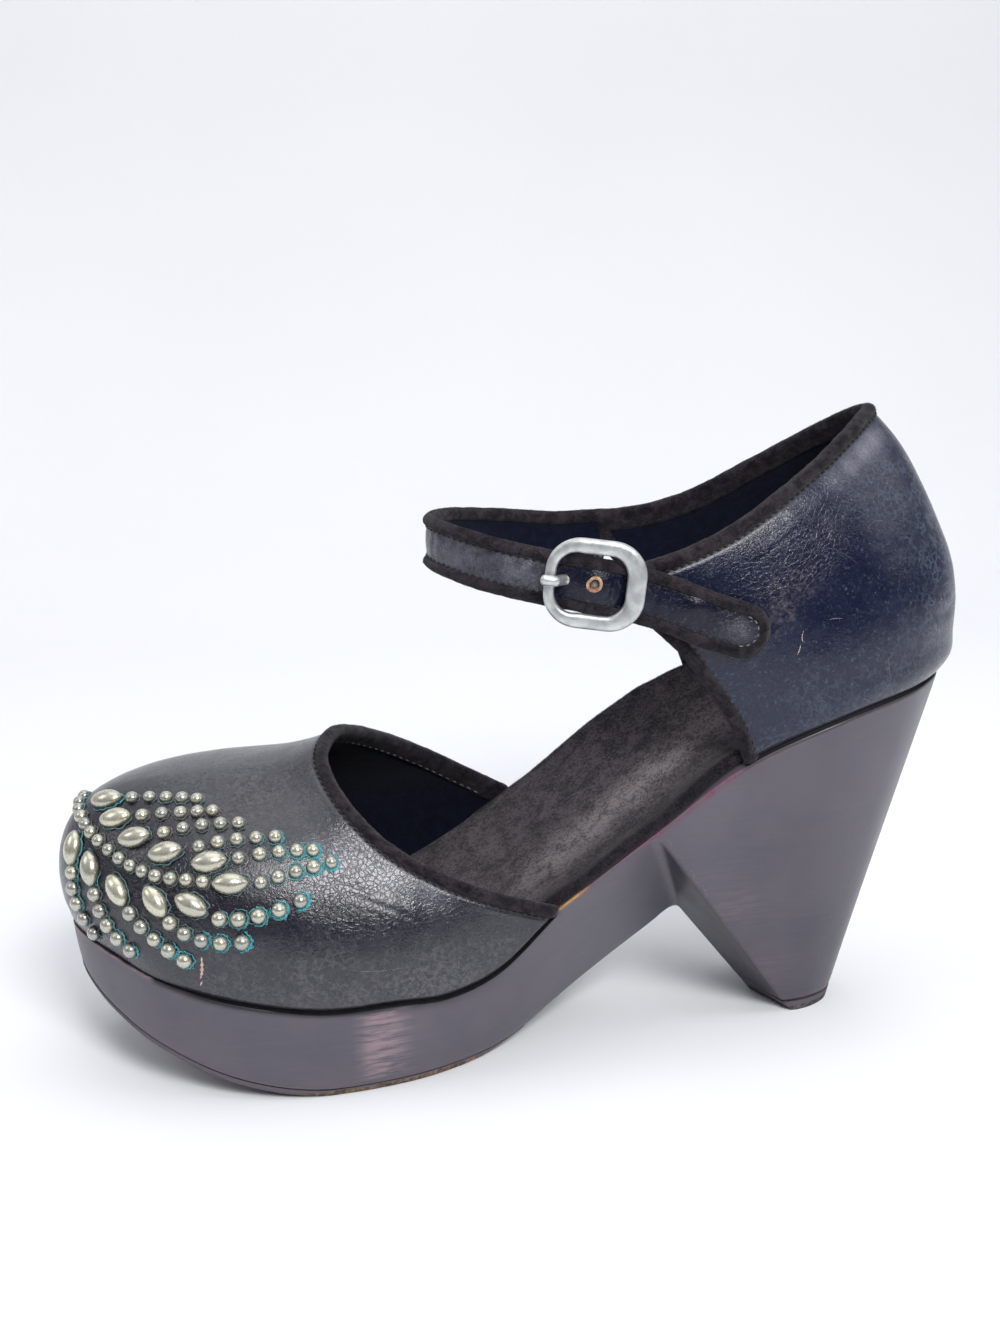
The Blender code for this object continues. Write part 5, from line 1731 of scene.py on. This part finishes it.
def bead_work(face):
    """Fan of long and round beads on the outer half of the toe, each sewn on with thread."""
    beads, threads = Builder(), Builder()
    random = np.random.default_rng(12)
    shares = np.linspace(0, 1, ARM_BEADS)
    spots = []
    for made, row in enumerate(FAN.rows):
        arm = dict(zip(FAN.columns, row))
        ends = [np.array((arm["c" + k], arm["t" + k])) for k in "012"]
        teals = arm["teal0"] + (arm["teal1"] - arm["teal0"]) * shares
        radius = BEADS[int(made >= LOWER_ARM)]
        spots += [(c, t, teal, radius) for (c, t), teal in zip(bend_line(*ends, ARM_BEADS), teals)]
        point, up = face.at(arm["long_c"], arm["long_t"])
        goal, _ = face.at(*ends[0])
        first = unit(goal - point - up * np.dot(goal - point, up))
        axes = (first, np.cross(up, first), up)
        dome(beads, point, axes, NAVETTE, 0.45 + 0.5 * random.random(), navette_outline)
        teal = 0.25 + 0.5 * (made in TEAL_NAVETTES)
        stretch = NAVETTE[0] / NAVETTE[1] * 0.97
        gap, thick, seed = NAVETTE_LOOP
        thread_loop(threads, point, axes, NAVETTE[1] + gap, thick, teal, seed + made, stretch)
    for s in np.linspace(0, 1, GARLAND_BEADS):
        spots.append((GARLAND.at("c", s), GARLAND.at("t", s), 0.35 if s < 0.2 else 0.05, BEADS[0]))
    for made, (c, t, teal, radius) in enumerate(spots, len(FAN.rows)):
        point, up = face.at(c, t)
        first = unit(np.cross(up, BEAD_TURN))
        axes = (first, np.cross(up, first), up)
        size = radius * (0.96 + 0.08 * random.random())
        dome(beads, point, axes, (size, size, size * 0.95), 0.7 * random.random(), round_outline)
        for gap, thick, seed in LOOPS if teal > TEAL_MANY else LOOPS[:1]:
            thread_loop(threads, point, axes, size + gap, thick, teal, made + seed)
    beads.finish("beads", [PEARL], "pewter")
    threads.finish("bead_threads", [BEAD_THREAD], "upper_leather")


# Assembly

def heel_tip_look():
    """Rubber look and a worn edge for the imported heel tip."""
    heel_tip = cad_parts["heel_tip"]
    heel_tip.data.materials.clear()
    heel_tip.data.materials.append(TIP_RUBBER)
    bevel = heel_tip.modifiers.new("worn_edge", "BEVEL")
    bevel.width = 0.25 * MM
    bevel.segments = 2
    bevel.limit_method = "ANGLE"
    bevel.angle_limit = math.radians(40)


def sewing(vamp, quarter, fronts, strap):
    """Stitches beside the bindings, and pale ones on the vamp's lining and round the strap's tip."""
    dark, pale = Builder(), Builder()
    seam_threads(dark, vamp, VAMP_BINDING + STITCH_GAP, False, SEAM_STITCH, trim=0.01)
    seam_threads(dark, quarter, QUARTER_BINDING + STITCH_GAP, False, SEAM_STITCH, trim=0.02)
    for front, into, face in fronts:
        stitch_row(dark, front + into * (FRONT_BINDING + STITCH_GAP), face, EDGE_STITCH)
    edge, inward, out = strap
    stitch_row(dark, edge + inward * (STRAP_EDGE + STRAP_STITCH_GAP), out, EDGE_STITCH, lift=0.1)
    lining_row = BINDING_INSIDE - LINING_STITCH_IN
    seam_threads(pale, vamp, lining_row, True, VAMP_LINING_STITCH, trim=0.03)
    seam_threads(dark, quarter, lining_row, True, QUARTER_LINING_STITCH, trim=0.03)
    tip = slice(STRAP_STEPS - 2, STRAP_STEPS + TIP_STEPS + 3)
    stitch_row(pale, (edge + inward * (STRAP_EDGE + STITCH_GAP))[tip], out[tip], TIP_STITCH, lift=0.2)
    dark.finish("seam_threads", [DARK_THREAD], "suede")
    pale.finish("lining_threads", [PALE_THREAD], "suede")


def build():
    """All pieces of the shoe."""
    vamp = vamp_wall()
    quarter = quarter_wall()
    sole_piece(quarter.paths[:, 0])
    outsole_piece()
    insole_piece()
    vamp_face = upper_piece("vamp_leather_wall", "vamp", vamp, VAMP_CREASES, VAMP_LEATHER, VAMP_SPOTS,
                            MARGIN_START, 130)
    top_binding("vamp_binding", vamp, 1, END_ROUND)
    vamp_shade_strip()
    bead_work(vamp_face)
    quarter_face = upper_piece("quarter_leather_wall", "quarter", quarter, QUARTER_CREASES, QUARTER_LEATHER,
                               QUARTER_SPOTS, -2.0, 120)
    top_binding("quarter_binding", quarter, 2)
    marks = Builder()
    for face, rows in ((vamp_face, VAMP_MARKS), (quarter_face, QUARTER_MARKS)):
        for line, wide, kind in rows:
            mark(marks, face, line, wide, kind)
    marks.finish("scratches", [GREY_MARK, TAN_MARK], "upper_leather")
    fronts = [front_binding("quarter_front_binding_outer", quarter, (0, 5), 3),
              front_binding("quarter_front_binding_inner", quarter, (-1, -6), 4)]

    strap_piece()
    strap = strap_binding()
    buckle_piece()
    prong_piece()
    sewing(vamp, quarter, fronts, strap)
    heel_tip_look()


# Studio, in metres: the cove's floor, bend, height and half width, lights by place, size and power.
COVE_FRONT = -0.55
COVE_BACK = 0.42
COVE_BEND = 0.3
COVE_TOP = 2.6
COVE_HALF = 3.0
LIGHTS = {
    "window": ((0.18, -0.92, 0.86), 0.42, 12.0),
    "ceiling": ((0.0, 0.1, 1.3), 1.1, 5.0),
    "left": ((-1.1, -0.1, 0.9), 0.6, 2.5),
    "right": ((1.05, -0.25, 0.75), 0.6, 2.0)}
LIGHT_AIM = Vector((0.0, 0.0, 0.06))
ROOM_LIGHT_FROM = (0.0, 0.55, 0.83)
ROOM_COLOUR = (0.88, 0.92, 1.0, 1.0)

# Camera fitted to the photograph: place and target in the drawing frame, lens and sensor in millimetres.
CAMERA_PLACE = (-69.4, -393.8, 196.4)
CAMERA_TARGET = (0.0, 0.0, 93.0)
CAMERA_LENS = 44.67
CAMERA_SENSOR = 36.0


def studio_world():
    """White room, dim on the side where the camera stands."""
    world = bpy.data.worlds.new("studio")
    world.use_nodes = True
    tree = world.node_tree
    back = tree.nodes["Background"].inputs
    way = add_node(tree, "TexCoord", {}, "Generated")
    facing = add_node(tree, "VectorMath", {0: way, 1: ROOM_LIGHT_FROM}, "Value", operation="DOT_PRODUCT")
    ramp = {"Value": facing, "From Min": -0.3, "From Max": 0.8, "To Min": 0.04, "To Max": 0.62}
    feed(tree, back["Strength"], add_node(tree, "MapRange", ramp, "Result"))
    feed(tree, back["Color"], ROOM_COLOUR)
    return world


def studio_cove():
    """Pale paper floor that bends up into a back wall."""
    curve = [(COVE_FRONT, 0.0), (COVE_BACK, 0.0)]
    for angle in np.linspace(0, math.pi / 2, 24)[1:]:
        curve.append((COVE_BACK + COVE_BEND * math.sin(angle), COVE_BEND - COVE_BEND * math.cos(angle)))
    curve.append((COVE_BACK + COVE_BEND, COVE_TOP))
    points = [(x, y, z) for y, z in curve for x in (-COVE_HALF, COVE_HALF)]
    mesh = bpy.data.meshes.new("cove")
    mesh.from_pydata(points, [], [(2 * i, 2 * i + 1, 2 * i + 3, 2 * i + 2) for i in range(len(curve) - 1)])
    mesh.polygons.foreach_set("use_smooth", np.ones(len(mesh.polygons), bool))
    cove = bpy.data.objects.new("cove", mesh)
    bpy.context.scene.collection.objects.link(cove)
    look = Look("cove_paper", IOR=1.4, Specular_IOR_Level=0.1)
    look.colour(look.mix(look.noise(0.004, 2, 0.5), rgb(236, 237, 240), rgb(242, 243, 245)))
    look.rough(look.span(look.noise(0.02, 2, 0.5), 0.2, 0.8, 0.7, 0.9))
    mesh.materials.append(look.material)


def aimed(name, data, place, target):
    """Lamp or camera standing at a place and looking at a target."""
    made = bpy.data.objects.new(name, data)
    made.location = place
    made.rotation_euler = (target - Vector(place)).to_track_quat("-Z", "Y").to_euler()
    bpy.context.scene.collection.objects.link(made)
    return made


def studio():
    """Pale cove, soft lights and the camera at the photograph's place."""
    scene = bpy.context.scene
    studio_cove()
    scene.world = studio_world()
    for name, (place, size, power) in LIGHTS.items():
        light = bpy.data.lights.new(name, "AREA")
        light.size = size
        light.energy = power
        aimed(name, light, place, LIGHT_AIM)

    camera = bpy.data.cameras.new("camera")
    camera.lens = CAMERA_LENS
    camera.sensor_width = CAMERA_SENSOR
    camera.clip_start = 0.01
    place, target = (Vector((point - ORIGIN) * MM) for point in (CAMERA_PLACE, CAMERA_TARGET))
    scene.camera = aimed("camera", camera, place, target)
    scene.view_settings.view_transform = "Standard"


build()
studio()
